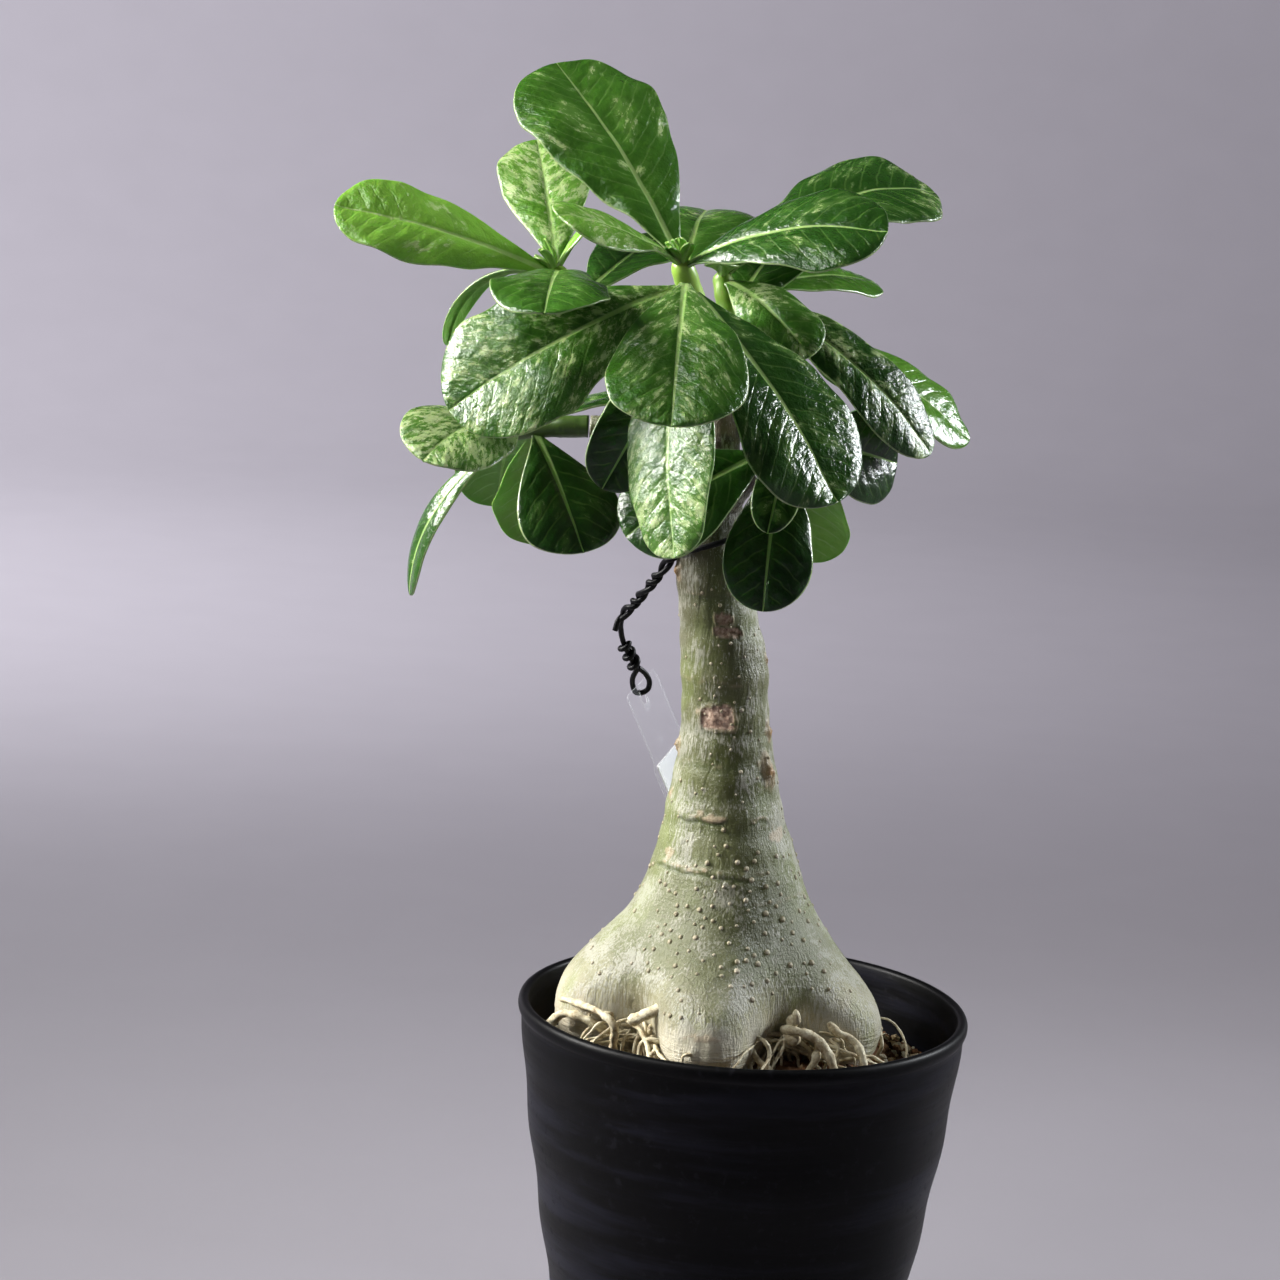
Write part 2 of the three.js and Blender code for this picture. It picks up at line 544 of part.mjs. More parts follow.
// The green end of a branch, a gap's width off its wood, with its leaves.
function makeShoot(name) {
  const branch = BRANCHES[name];
  const curve = branchCurve(branch);
  const start = branch.wood + 1.5 * GAP / curve.getLength();
  const radiusAt = (t) => between([branch.woodTo, branch.greenTo], t);
  const stem = toSolid(barGeometry(curve, radiusAt, BRANCH_SIDES, 3, start, 1));
  return toGeometry(joinAll([stem, ...shootLeaves(name)]));
}

// Places on a circle across a curve that turns once per pitch, between two shares of its length.
function helixPoints(curve, { from, to, pitch, radius, stepsPerTurn }, phase) {
  const turns = curve.getLength() * (to - from) / pitch;
  const steps = Math.round(turns * stepsPerTurn);
  const frames = curve.computeFrenetFrames(WIRE_FRAMES);
  return Array.from({ length: steps + 1 }, (_, k) => {
    const along = from + (to - from) * k / steps;
    const frame = Math.round(along * WIRE_FRAMES);
    const angle = phase + 2 * Math.PI * turns * k / steps;
    return curve.getPointAt(along)
      .addScaledVector(frames.normals[frame], radius * Math.cos(angle))
      .addScaledVector(frames.binormals[frame], radius * Math.sin(angle));
  });
}

// Two strands are wound round each other as far as the kink, where the second is cut off. The first
// runs on, bends round into the eye, and its end is wrapped round it.
function makeWire() {
  const tail = new THREE.CatmullRomCurve3(WIRE_TAIL.map(vector));
  const strands = [
    [...helixPoints(tail, WIRE_TWIST, 0), ...WIRE_BARE.map((along) => tail.getPointAt(along))],
    [...helixPoints(tail, WIRE_TWIST, Math.PI), ...WIRE_CUT_END.map(vector)],
    helixPoints(tail, WIRE_WRAP, 0),
  ].map((points) => {
    const strand = new THREE.CatmullRomCurve3(points);
    return toSolid(barGeometry(strand, () => WIRE_RADIUS, WIRE_SIDES, points.length));
  });
  const ring = new THREE.TorusGeometry(WIRE_RING.radius, WIRE_RADIUS, WIRE_SIDES, WIRE_RING.steps)
    .rotateY(radians(WIRE_RING.tilt)).translate(...WIRE_RING.centre);
  const eyeCurve = new THREE.CatmullRomCurve3(WIRE_EYE.map(vector));
  const eye = barGeometry(eyeCurve, () => WIRE_RADIUS, WIRE_SIDES, WIRE_EYE_STEPS);
  return toGeometry(joinAll([toSolid(ring), ...strands, toSolid(eye)]));
}

// A pocket of two films, open on the side towards +X, under a punched tab of one film. X runs
// across, Y through and Z up; the origin is the tab's top corner.
function makeSleeve() {
  const { width, height, depth, film, tab } = SLEEVE;
  const pocketHeight = height - tab;
  const outside = new THREE.BoxGeometry(width, depth, height).translate(width / 2, 0, -height / 2);
  const pocket = new THREE.BoxGeometry(width, depth - 2 * film, pocketHeight)
    .translate(width / 2 + SLEEVE_SEAM, 0, -tab - pocketHeight / 2 + SLEEVE_SEAM);
  const spare = new THREE.BoxGeometry(2 * width, depth, 2 * tab);
  const front = spare.clone().translate(0, (depth + film) / 2, 0);
  const back = spare.clone().translate(0, -(depth + film) / 2, 0);
  const hole = new THREE.CylinderGeometry(SLEEVE_HOLE.radius, SLEEVE_HOLE.radius, 2 * depth, 12)
    .translate(SLEEVE_HOLE.across, 0, -SLEEVE_HOLE.down);
  return toGeometry([pocket, front, back, hole]
    .reduce((solid, cut) => solid.subtract(toSolid(cut)), toSolid(outside)));
}

// The card stands in the pocket with a gap on every side.
function makeCard() {
  const { width, height, depth, film, tab } = SLEEVE;
  const cardHeight = height - tab - SLEEVE_SEAM - 2 * GAP;
  const cardWidth = width - SLEEVE_SEAM - 2 * GAP;
  return new THREE.BoxGeometry(cardWidth, depth - 2 * film - 2 * GAP, cardHeight)
    .translate(SLEEVE_SEAM + GAP + cardWidth / 2, 0, -tab - GAP - cardHeight / 2);
}

// Axes of the hanging tag: across it, through it and up it.
function tagBasis() {
  const up = vector(SLEEVE_DOWN).normalize().negate();
  const across = new THREE.Vector3(SLEEVE_ACROSS_X, 0, -SLEEVE_ACROSS_X * up.x / up.z);
  across.y = Math.sqrt(1 - across.lengthSq());
  return new THREE.Matrix4().makeBasis(across, new THREE.Vector3().crossVectors(up, across), up);
}

const part = new THREE.Group();

function addMesh(group, name, geometry, look) {
  const mesh = new THREE.Mesh(geometry, new THREE.MeshStandardMaterial(look));
  mesh.name = name;
  group.add(mesh);
  return mesh;
}

addMesh(part, 'pot', makePot(), BLACK_PLASTIC);
addMesh(part, 'soil', makeSoil(), SOIL_BROWN);
addMesh(part, 'caudex_trunk', makePlantBody(), PALE_BARK);
for (const name of Object.keys(BRANCHES)) {
  addMesh(part, `leafy_shoot_${name}`, makeShoot(name), LEAF_GREEN);
}
addMesh(part, 'tag_wire', makeWire(), BLACK_WIRE);

const tag = new THREE.Group();
tag.setRotationFromMatrix(tagBasis());
tag.position.copy(vector(SLEEVE_CORNER));
addMesh(tag, 'clear_tag_sleeve', makeSleeve(), CLEAR_FILM);
addMesh(tag, 'blank_tag_card', makeCard(), WHITE_CARD);
part.add(tag);

export default part;
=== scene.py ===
# %% [markdown]
# # Potted desert rose
# A desert rose is a succulent that stores water in a swollen foot, the caudex. This one is young: a
# pale trunk with one crown of variegated leaves, in a black nursery pot, and a wire round its neck
# that carries a clear sleeve with a blank card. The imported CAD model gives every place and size. It
# is loaded first, because each piece below sits exactly where its CAD node is.

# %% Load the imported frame
import math

import bpy
import numpy as np
from mathutils import Matrix, Vector


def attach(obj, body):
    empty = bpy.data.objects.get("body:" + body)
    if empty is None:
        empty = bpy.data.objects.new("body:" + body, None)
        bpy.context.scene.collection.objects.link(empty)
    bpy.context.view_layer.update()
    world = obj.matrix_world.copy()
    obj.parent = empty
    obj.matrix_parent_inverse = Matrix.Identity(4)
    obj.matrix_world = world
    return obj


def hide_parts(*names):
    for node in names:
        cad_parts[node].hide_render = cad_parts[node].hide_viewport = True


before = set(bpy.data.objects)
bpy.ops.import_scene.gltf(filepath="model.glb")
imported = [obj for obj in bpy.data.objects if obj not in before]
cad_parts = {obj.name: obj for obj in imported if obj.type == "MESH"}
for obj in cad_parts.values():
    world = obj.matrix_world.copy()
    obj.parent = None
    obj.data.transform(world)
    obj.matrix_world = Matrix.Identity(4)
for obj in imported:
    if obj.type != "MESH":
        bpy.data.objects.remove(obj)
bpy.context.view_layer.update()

MM = 0.001  # Blender works in metres, the tables below in millimetres
print("CAD nodes:", ", ".join(sorted(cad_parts)))

# %% [markdown]
# ## Camera
# The photograph was taken a little above the pot, from less than a metre away, with a long lens. A
# camera is a place, a direction and a focal length. These come from the pot's rim, whose ellipse
# shows how far the camera looks down, and from the height of the plant in the frame.

# %% Camera
CAMERA_PLACE = (0, -863.8, 372.6)
CAMERA_RIGHT = (0.9975, 0.0474, 0.0532)
CAMERA_UP = (-0.0608, 0.1752, 0.9827)
CAMERA_AHEAD = (-0.0373, 0.9834, -0.1776)
SENSOR = 36
FOCAL_PIXELS = 3346  # focal length in pixels of a frame that is 1280 pixels wide
FRAME_PIXELS = 1280

scene = bpy.context.scene
camera = bpy.data.objects.new("camera", bpy.data.cameras.new("camera"))
camera.data.sensor_width = SENSOR
camera.data.lens = SENSOR * FOCAL_PIXELS / FRAME_PIXELS
camera.data.clip_start = 0.05
turned = Matrix((CAMERA_RIGHT, CAMERA_UP, [-v for v in CAMERA_AHEAD])).transposed()
camera.matrix_world = Matrix.Translation(Vector(CAMERA_PLACE) * MM) @ turned.to_4x4()
scene.collection.objects.link(camera)
scene.camera = camera
print(f"lens {camera.data.lens:.1f} mm")

# %% [markdown]
# ## Surfaces from arrays
# Almost everything here is a stack of rings: a pot, a trunk, a stem, a wire, even a leaf, whose
# ring runs over its upper face and back under it. So one collector takes rings as arrays, joins
# each to the next with four-sided faces and closes both ends with a fan. Numbers that a material
# needs, such as the distance from a leaf's margin, ride along as attributes of the points.

# %% The collector of closed skins
def columns(*parts):
    """The parts side by side along a new last axis, with single numbers repeated."""
    return np.stack(np.broadcast_arrays(*parts), -1)


def make_piece(name, finish, nodes, points, quads, triangles, values, smooth=True):
    """A mesh object from arrays: points in mm, faces with four and with three corners, and values
    of three numbers per point. It rides on the root body and stands for the CAD nodes."""
    mesh = bpy.data.meshes.new(name)
    sizes = np.repeat([4, 3], [len(quads), len(triangles)])
    mesh.vertices.add(len(points))
    mesh.vertices.foreach_set("co", (points * MM).ravel())
    mesh.loops.add(int(sizes.sum()))
    mesh.loops.foreach_set("vertex_index", np.concatenate([quads.ravel(), triangles.ravel()]))
    mesh.polygons.add(len(sizes))
    mesh.polygons.foreach_set("loop_start", np.cumsum(sizes) - sizes)
    mesh.polygons.foreach_set("use_smooth", np.full(len(sizes), smooth))
    for key, rows in values.items():
        mesh.attributes.new(key, "FLOAT_VECTOR", "POINT").data.foreach_set("vector", rows.ravel())
    mesh.update(calc_edges=True)
    mesh.validate()
    mesh.materials.append(finish.material)
    piece = bpy.data.objects.new(name, mesh)
    scene.collection.objects.link(piece)
    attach(piece, "root")
    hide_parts(*nodes)
    print(f"{name}: {len(mesh.loops) - 2 * len(mesh.polygons)} triangles")
    return piece


class Skins:
    """Closed skins that become one mesh. Each is a stack of rings that turn anticlockwise seen from
    the last ring, so that its faces point outwards."""

    def __init__(self):
        self.points, self.quads, self.fans, self.values, self.count = [], [], [], {}, 0

    def add(self, rings, closed=False, **values):
        """rings[k, i] is point i of ring k in mm. A value is three numbers, for all or per point. A
        closed stack joins its last ring to its first, any other gets a fan at each end."""
        rows, sides = rings.shape[:2]
        index = self.count + np.arange(rows * sides).reshape(rows, sides)
        after = np.roll(index, -1, axis=1)
        first, last = self.count + rows * sides, self.count + rows * sides + 1
        if closed:
            index, after = np.vstack([index, index[:1]]), np.vstack([after, after[:1]])
        else:
            self.fans.append(columns(after[0], index[0], first))
            self.fans.append(columns(index[-1], after[-1], last))
        self.quads.append(columns(index[:-1], after[:-1], after[1:], index[1:]).reshape(-1, 4))
        self.points.append(self.with_ends(rings, closed))
        for name, value in values.items():
            spread = np.broadcast_to(np.asarray(value, float), rings.shape)
            self.values.setdefault(name, []).append(self.with_ends(spread, closed))
        self.count += len(self.points[-1])

    @staticmethod
    def with_ends(rings, closed):
        """The rings' points in one list, then the middles of the first and the last ring."""
        points = rings.reshape(-1, 3)
        return points if closed else np.vstack([points, rings[0].mean(0), rings[-1].mean(0)])

    def piece(self, name, finish, slot, *nodes):
        """Makes the mesh object of all the skins."""
        return make_piece(name, finish, nodes, np.vstack(self.points), np.vstack(self.quads),
                          np.vstack([*self.fans, np.zeros((0, 3), int)]),
                          {key: np.vstack(parts) for key, parts in self.values.items()})

# %% [markdown]
# ## Curves, tables and noise
# Three more tools carry the CAD's own shapes over. A table of heights and radii is read as a smooth
# line. A row of points becomes a smooth curve on which places are given by length. Noise is a sum
# of random values on a lattice, blended smoothly, and gives every surface its small unevenness. A
# few short functions beside them take up what the formulas below share.

# %% Read a table as a smooth line
def read_line(table, heights):
    """Each column of the table at the heights in its first column: a cubic between two rows, whose
    slope at a row is that of the line through the row's two neighbours."""
    table = np.asarray(table, float)
    heights = np.asarray(heights, float)
    rows = np.arange(len(table))
    low, high = table[np.maximum(rows - 1, 0)], table[np.minimum(rows + 1, len(table) - 1)]
    slope = (high[:, 1:] - low[:, 1:]) / (high[:, :1] - low[:, :1])
    k = np.clip(np.searchsorted(table[:, 0], heights, "right") - 1, 0, len(table) - 2)
    span = (table[k + 1, 0] - table[k, 0])[..., None]
    t = (heights[..., None] - table[k, :1]) / span
    return (table[k, 1:] * (1 + 2 * t) * (1 - t) ** 2 + table[k + 1, 1:] * t * t * (3 - 2 * t)
            + slope[k] * span * t * (1 - t) ** 2 + slope[k + 1] * span * t * t * (t - 1))


def smoothstep(value, low, high):
    """From 0 at low to 1 at high, level at both ends."""
    t = np.clip((value - low) / (high - low), 0, 1)
    return t * t * (3 - 2 * t)


def bell(away, width):
    """1 at distance 0, falling off as exp(-(distance / width)^2)."""
    return np.exp(-(away / width) ** 2)


def unit(vectors):
    """The vectors with length 1."""
    return vectors / np.linalg.norm(vectors, axis=-1, keepdims=True)


def between(share, ends):
    """The first end at share 0, the second at share 1, and evenly from one to the other."""
    return np.interp(share, [0, 1], ends)


def circle(sides):
    """So many angles, evenly spread from 0 round a circle."""
    return np.linspace(0, 2 * np.pi, sides, endpoint=False)


def heading(turn):
    """The direction of each angle, as x and y."""
    return columns(np.cos(turn), np.sin(turn))


def raised(flat, height):
    """Points of the plane, lifted to their heights."""
    return np.concatenate([flat, np.broadcast_to(height, flat.shape[:-1])[..., None]], -1)


def turned_rings(profile, sides):
    """Rings round the axis, one for each row of radius and height."""
    return raised(profile[:, :1, None] * heading(circle(sides)), profile[:, 1:])

# %% A smooth curve through points
def curve(points, steps=64):
    """A centripetal Catmull-Rom curve: between two points a cubic whose slopes come from the
    neighbours, weighted by the square root of their distance. Returns the function that gives the
    places at shares of its length, and the length."""
    p = np.asarray(points, float)
    p = np.vstack([2 * p[0] - p[1], p, 2 * p[-1] - p[-2]])
    gap = np.sqrt(np.linalg.norm(np.diff(p, axis=0), axis=1))[:, None]
    before, here, after = gap[:-2], gap[1:-1], gap[2:]
    a, b, c, d = p[:-3], p[1:-2], p[2:-1], p[3:]
    start = ((b - a) / before - (c - a) / (before + here) + (c - b) / here) * here
    end = ((c - b) / here - (d - b) / (here + after) + (d - c) / after) * here
    t = (np.arange(steps) / steps)[None, :, None]
    b, c, start, end = b[:, None], c[:, None], start[:, None], end[:, None]
    line = (b + start * t + (3 * c - 3 * b - 2 * start - end) * t ** 2
            + (2 * b - 2 * c + start + end) * t ** 3).reshape(-1, 3)
    line = np.vstack([line, p[-2]])
    length = np.concatenate([[0], np.cumsum(np.linalg.norm(np.diff(line, axis=0), axis=1))])

    def at(shares):
        """The places at shares of the length."""
        return np.stack([np.interp(np.asarray(shares) * length[-1], length, line[:, axis])
                         for axis in range(3)], -1)
    return at, length[-1]


def two_across(path, reference):
    """Two directions across the path at each of its points, the first towards the reference."""
    ahead = unit(np.gradient(path, axis=0))
    first = unit(reference - ahead * (ahead @ reference)[:, None])
    return first, np.cross(ahead, first)


def tube(path, radii, sides, reference):
    """Rings round a path: each is a circle across the path's direction, whose first point lies
    towards the reference. The radius is one number for all rings or one per ring."""
    first, second = (side[:, None] for side in two_across(path, reference))
    turn = circle(sides)[None, :, None]
    return path[:, None] + np.reshape(radii, (-1, 1, 1)) * (
        first * np.cos(turn) + second * np.sin(turn))

# %% Smooth noise on arrays
def noise(points, seed=0):
    """Values from -1 to 1 that change over one unit: a random value at each corner of the unit cell
    round a point, blended by the smoothstep of the distances to the corners."""
    cell = np.floor(points).astype(np.int64)
    share = points - cell
    share = share * share * (3 - 2 * share)
    total = np.zeros(points.shape[:-1])
    for corner in np.ndindex(2, 2, 2):
        key = ((cell + corner) * (73856093, 19349663, 83492791)).sum(-1) + seed * 961748927
        key = (key ^ (key >> 13)) * 1274126177
        key = (key ^ (key >> 16)) & 0xFFFF
        total += (key / 32767.5 - 1) * np.where(corner, share, 1 - share).prod(-1)
    return total


def rough(points, seed=0, layers=3):
    """Noise in layers, each with half the grain and half the height of the one before."""
    return sum(noise(points * 2 ** k, seed + k) / 2 ** k for k in range(layers))

tried = np.array([[0.5, 0, 0], [3, 2, 1], [9, 9, 9.5]])
print("smooth noise at three points:", noise(tried).round(2))

# %% [markdown]
# ## Shader maths
# A material is a net of nodes. Written as Python expressions it stays readable: a Strand wraps one
# socket, and adding or multiplying strands adds the Math nodes. Everything else, such as a noise or
# a mix of colours, comes from one method that sets a node up and joins its sockets.

# %% Expressions on sockets
class Strand:
    """One output socket of a finish, with arithmetic that adds Math nodes."""

    def __init__(self, finish, socket):
        self.finish, self.socket = finish, socket

    def maths(self, operation, *others):
        """A Math node on this socket and the others."""
        return self.finish.node("Math", {"operation": operation},
                                dict(enumerate((self, *others))))

    def __add__(self, other): return self.maths("ADD", other)
    def __sub__(self, other): return self.maths("SUBTRACT", other)
    def __mul__(self, other): return self.maths("MULTIPLY", other)
    def __truediv__(self, other): return self.maths("DIVIDE", other)
    def __rsub__(self, other): return (self * -1) + other
    __radd__, __rmul__ = __add__, __mul__

    def step(self, low, high):
        """From 0 at low to 1 at high, smoothly. It falls where low is the greater."""
        if low > high:
            return 1 - self.step(high, low)
        return self.finish.node("MapRange", {"interpolation_type": "SMOOTHSTEP"},
                                {"Value": self, "From Min": low, "From Max": high})

    def parts(self):
        """The three numbers of a vector."""
        node = self.finish.node("SeparateXYZ", {}, {0: self})
        return [Strand(self.finish, socket) for socket in node.socket.node.outputs]


class Finish:
    """One material. Numbers and colours that are the same all over go to the shader's sockets."""

    def __init__(self, name, **sockets):
        self.material = bpy.data.materials.new(name)
        self.material.use_nodes = True
        self.nodes, self.links = self.material.node_tree.nodes, self.material.node_tree.links
        self.shader = self.nodes["Principled BSDF"]
        self.set(**sockets)
        # places on the piece in millimetres
        place = self.node("TexCoord", output="Object")
        self.place = self.node("VectorMath", {"operation": "SCALE"}, {0: place, "Scale": 1 / MM})

    def set(self, **sockets):
        """Fills the shader's sockets: base_color is Base Color, and so on."""
        for name, value in sockets.items():
            label = name.replace("_", " ").title().replace("Ior", "IOR")
            self.join(value, self.shader.inputs[label])

    def join(self, value, socket):
        """Links a strand to the socket, or writes a plain value into it."""
        if isinstance(value, Strand):
            self.links.new(value.socket, socket)
        else:
            socket.default_value = value

    def node(self, kind, settings=None, inputs=None, output=0):
        """Adds a node, sets it up, joins its inputs and returns one of its outputs."""
        node = self.nodes.new("ShaderNode" + kind)
        for name, value in (settings or {}).items():
            if name == "stops":
                while len(node.color_ramp.elements) < len(value):
                    node.color_ramp.elements.new(1)
                for element, (at, colour) in zip(node.color_ramp.elements, value):
                    element.position, element.color = at, (*colour, 1)
            else:
                setattr(node, name, value)
        for name, value in (inputs or {}).items():
            self.join(value, node.inputs[name])
        return Strand(self, node.outputs[output])

    def attribute(self, name):
        """The three numbers that a mesh carries at each point."""
        return self.node("Attribute", {"attribute_name": name}, output="Vector").parts()

    def vector(self, *parts):
        """Three strands or numbers as one vector."""
        return self.node("CombineXYZ", {}, dict(enumerate(parts)))

    def grain(self, where, scale=1.0, detail=3.0, roughness=0.5):
        """Noise from 0 to 1 at a vector, or at the places in mm with each axis multiplied by its
        own number. The scale counts grains per unit."""
        if not isinstance(where, Strand):
            where = self.node("VectorMath", {"operation": "MULTIPLY"}, {0: self.place, 1: where})
        return self.node("TexNoise", {}, {"Vector": where, "Scale": scale, "Detail": detail,
                                          "Roughness": roughness})

    def mix(self, share, a, b):
        """Colour a where share is 0 and colour b where it is 1."""
        full = [c if isinstance(c, Strand) else (*c, 1) for c in (a, b)]
        return self.node("Mix", {"data_type": "RGBA"}, {0: share, 6: full[0], 7: full[1]}, 2)

    def ramp(self, value, stops):
        """A colour for each value, blended between stops of place and colour."""
        return self.node("ValToRGB", {"stops": stops}, {0: value})

    def bump(self, height, strength=1.0):
        """Feeds a height in millimetres to the normal."""
        self.set(normal=self.node("Bump", {}, {"Height": height, "Strength": strength,
                                               "Distance": MM}))

# %% [markdown]
# ## Floor and light
# The floor is a wide shallow bowl: level under the pot and curving up far behind it, so that no
# edge shows from any side. Light comes through its open top. The photograph's light is a strong
# soft lamp at the left, level with the plant, which leaves the middle of the trunk dark, a weaker
# one at the right, and a lamp overhead that gives the leaves their broken white shine. The other
# lamps point away from the plant and light the bowl's wall on each side.

# %% Floor
FLOOR_PROFILE = [  # place along it, radius, height
    [0, 0, 0], [1, 1500, 0], [2, 2100, 60], [3, 2550, 380], [4, 2800, 900]]
floor_finish = Finish("pale_floor", roughness=0.7)
floor_finish.set(base_color=floor_finish.mix(
    floor_finish.grain(floor_finish.place, 0.02, 4), (0.235, 0.223, 0.250), (0.252, 0.239, 0.268)))


def make_floor(sides=96, rows=48):
    """The profile carried round the middle. It is an open sheet, so it has faces between its rings
    and one in its middle, and no fans."""
    profile = read_line(FLOOR_PROFILE, np.linspace(0, len(FLOOR_PROFILE) - 1, rows))
    rings = turned_rings(profile, sides)[1:]
    index = np.arange(len(rings) * sides).reshape(-1, sides)
    after = np.roll(index, -1, axis=1)
    faces = columns(index[:-1], index[1:], after[1:], after[:-1]).reshape(-1, 4).tolist()
    mesh = bpy.data.meshes.new("floor")
    mesh.from_pydata((rings.reshape(-1, 3) * MM).tolist(), [], [*faces, index[0].tolist()])
    mesh.polygons.foreach_set("use_smooth", np.ones(len(mesh.polygons), bool))
    mesh.materials.append(floor_finish.material)
    floor = bpy.data.objects.new("floor", mesh)
    scene.collection.objects.link(floor)
    return floor


print("floor faces:", len(make_floor().data.polygons))

# %% Lamps
LAMPS = {  # place and aim in mm, side in mm, watts, beam in degrees, colour
    "key_left": ((-1160, 40, 830), (-20, 0, 225), 560, 4.9, 50, (1.0, 0.985, 0.95)),
    "fill_right": ((1110, 440, 700), (0, 0, 230), 340, 1.95, 50, (0.93, 0.965, 1.0)),
    "sparkle": ((-640, -560, 1230), (-20, 0, 280), 200, 5.2, 180, (1.0, 1.0, 1.0)),
    "backdrop": ((-800, 900, 1200), (-500, 2600, 250), 700, 62, 180, (0.98, 0.97, 1.0)),
    "far_left": ((-1400, -700, 1300), (-2700, -300, 250), 700, 24, 180, (0.98, 0.97, 1.0)),
    "far_right": ((1400, -700, 1300), (2700, -300, 250), 700, 24, 180, (0.98, 0.97, 1.0)),
    "far_front": ((300, -1500, 1300), (300, -2700, 250), 700, 12, 180, (0.98, 0.97, 1.0)),
}
WORLD_COLOUR, WORLD_STRENGTH = (0.80, 0.78, 0.84), 0.035
for name, (place, aim, side, watts, beam, colour) in LAMPS.items():
    lamp = bpy.data.objects.new(name, bpy.data.lights.new(name, "AREA"))
    lamp.data.size, lamp.data.energy, lamp.data.color = side * MM, watts, colour
    lamp.data.spread = math.radians(beam)
    place, aim = Vector(place) * MM, Vector(aim) * MM
    turned = (aim - place).to_track_quat("-Z", "Y").to_matrix().to_4x4()
    lamp.matrix_world = Matrix.Translation(place) @ turned
    lamp.visible_camera = False
    scene.collection.objects.link(lamp)
world = bpy.data.worlds.new("studio")
world.use_nodes = True
background = world.node_tree.nodes["Background"].inputs
background["Color"].default_value = (*WORLD_COLOUR, 1)
background["Strength"].default_value = WORLD_STRENGTH
scene.world = world
scene.view_settings.view_transform = "Standard"
print("lamps:", ", ".join(LAMPS))

# %% [markdown]
# ## Pot
# A nursery pot is blown or moulded from thin black plastic. It is turned, so its skin is a profile
# carried round the axis: a foot with drain holes, a wall that swells a little and has soft ripples,
# a rolled lip and the inner side. The profile runs from the middle of the underside outwards, up
# and back down inside. The holes and the foot's notches are cut with a Boolean, which is then
# applied. The plastic is nearly black, with scuffs and faint bluish bands round it where its colour
# is a bit lighter: partly the plastic's own streaks, partly a painted bluish sheen.

# %% Pot profile
POT_UNDERSIDE = [[0.01, 0], [15, 0], [16.2, 2.2], [33.8, 2.2], [35, 0]]  # radius, height
POT_WALL_LINE = [  # height, radius
    [0, 40.2], [1.5, 41], [15, 43.7], [29, 46.1], [42, 48.3], [54, 50.4], [67, 52.6], [80, 54.7],
    [92, 56.5], [104, 57.9], [115.8, 59]]
POT_LIP = [[59.9, 117], [60, 118.5], [59.5, 119.6], [58.6, 120], [57.5, 119.5], [57.1, 118.2]]
POT_LIP_START, POT_LIP_END = [59.1, 115.6], [56.9, 116.4]  # radius, height
POT_INNER_LINE = [[6.1, 40], [54, 48.6], [103, 55.9]]  # height, radius
POT_INNER_TOP, POT_INNER_FLARE, POT_INNER_CORNER = 112, 0.1, 1.5
POT_FLOOR_TOP = 4.6
POT_RIPPLE, POT_RIPPLE_PITCH, POT_RIPPLE_FROM = 0.3, 26, 2


def pot_radius(height):
    """The wall's radius: the table's line, plus a sine ripple above the foot."""
    ripple = POT_RIPPLE * np.sin(2 * np.pi * height / POT_RIPPLE_PITCH)
    return read_line(POT_WALL_LINE, height)[..., 0] + np.where(height > POT_RIPPLE_FROM, ripple, 0)


def pot_profile():
    """Radius and height, anticlockwise: the underside, the outer wall, the lip, the inner side."""
    wall = np.concatenate([np.linspace(0, 2, 4), np.linspace(3, POT_LIP_START[1], 90)])
    lip, _ = curve([[*point, 0] for point in (POT_LIP_START, *POT_LIP, POT_LIP_END)])
    low, high = POT_INNER_LINE[0], POT_INNER_LINE[-1]
    inner = np.linspace(POT_INNER_TOP, low[0], 40)
    inner_radius = np.where(inner > high[0], high[1] + (inner - high[0]) * POT_INNER_FLARE,
                            np.interp(inner, *np.transpose(POT_INNER_LINE)))
    floor = [[radius, POT_FLOOR_TOP] for radius in (low[1] - POT_INNER_CORNER, 20, 0.01)]
    return np.vstack([POT_UNDERSIDE, columns(pot_radius(wall), wall),
                      lip(np.linspace(0.06, 1, 26))[:, :2], columns(inner_radius, inner), floor])

# %% Pot finish
pot_black = Finish("black_satin_plastic", specular_ior_level=0.10)
streaks = pot_black.grain((0.02, 0.02, 0.3), 1.6, 5, 0.6)
scuffs = pot_black.grain(pot_black.place, 0.35, 6, 0.65).step(0.56, 0.68)
# The bands are faint lighter bluish stripes in the base colour: partly the plastic's own streaks,
# partly a painted bluish sheen. They also raise the bump.
bands_and_sheen = pot_black.grain((0.012, 0.012, 0.11), 1.0, 4, 0.6).step(0.44, 0.64)
plastic = pot_black.mix(bands_and_sheen, (0.0014, 0.0014, 0.0018), (0.0072, 0.0075, 0.0125))
pot_black.set(
    base_color=pot_black.mix(scuffs * 0.5, plastic, (0.0095, 0.0095, 0.0130)),
    roughness=0.36 + streaks * 0.16 + scuffs * 0.10)
pot_black.bump(streaks * 0.05 + bands_and_sheen * 0.05 + pot_black.grain(pot_black.place, 1.1, 3) * 0.012)

# %% Pot with its drain holes
DRAIN_HOLES, DRAIN_HOLE_RADIUS, DRAIN_RING_RADIUS = 6, 4.2, 25
DRAIN_BAR_FROM, DRAIN_BAR_TO = -8.0, 9.0  # heights
FOOT_NOTCH = {"width": 9, "length": 9, "height": 1.6, "radius": 38}


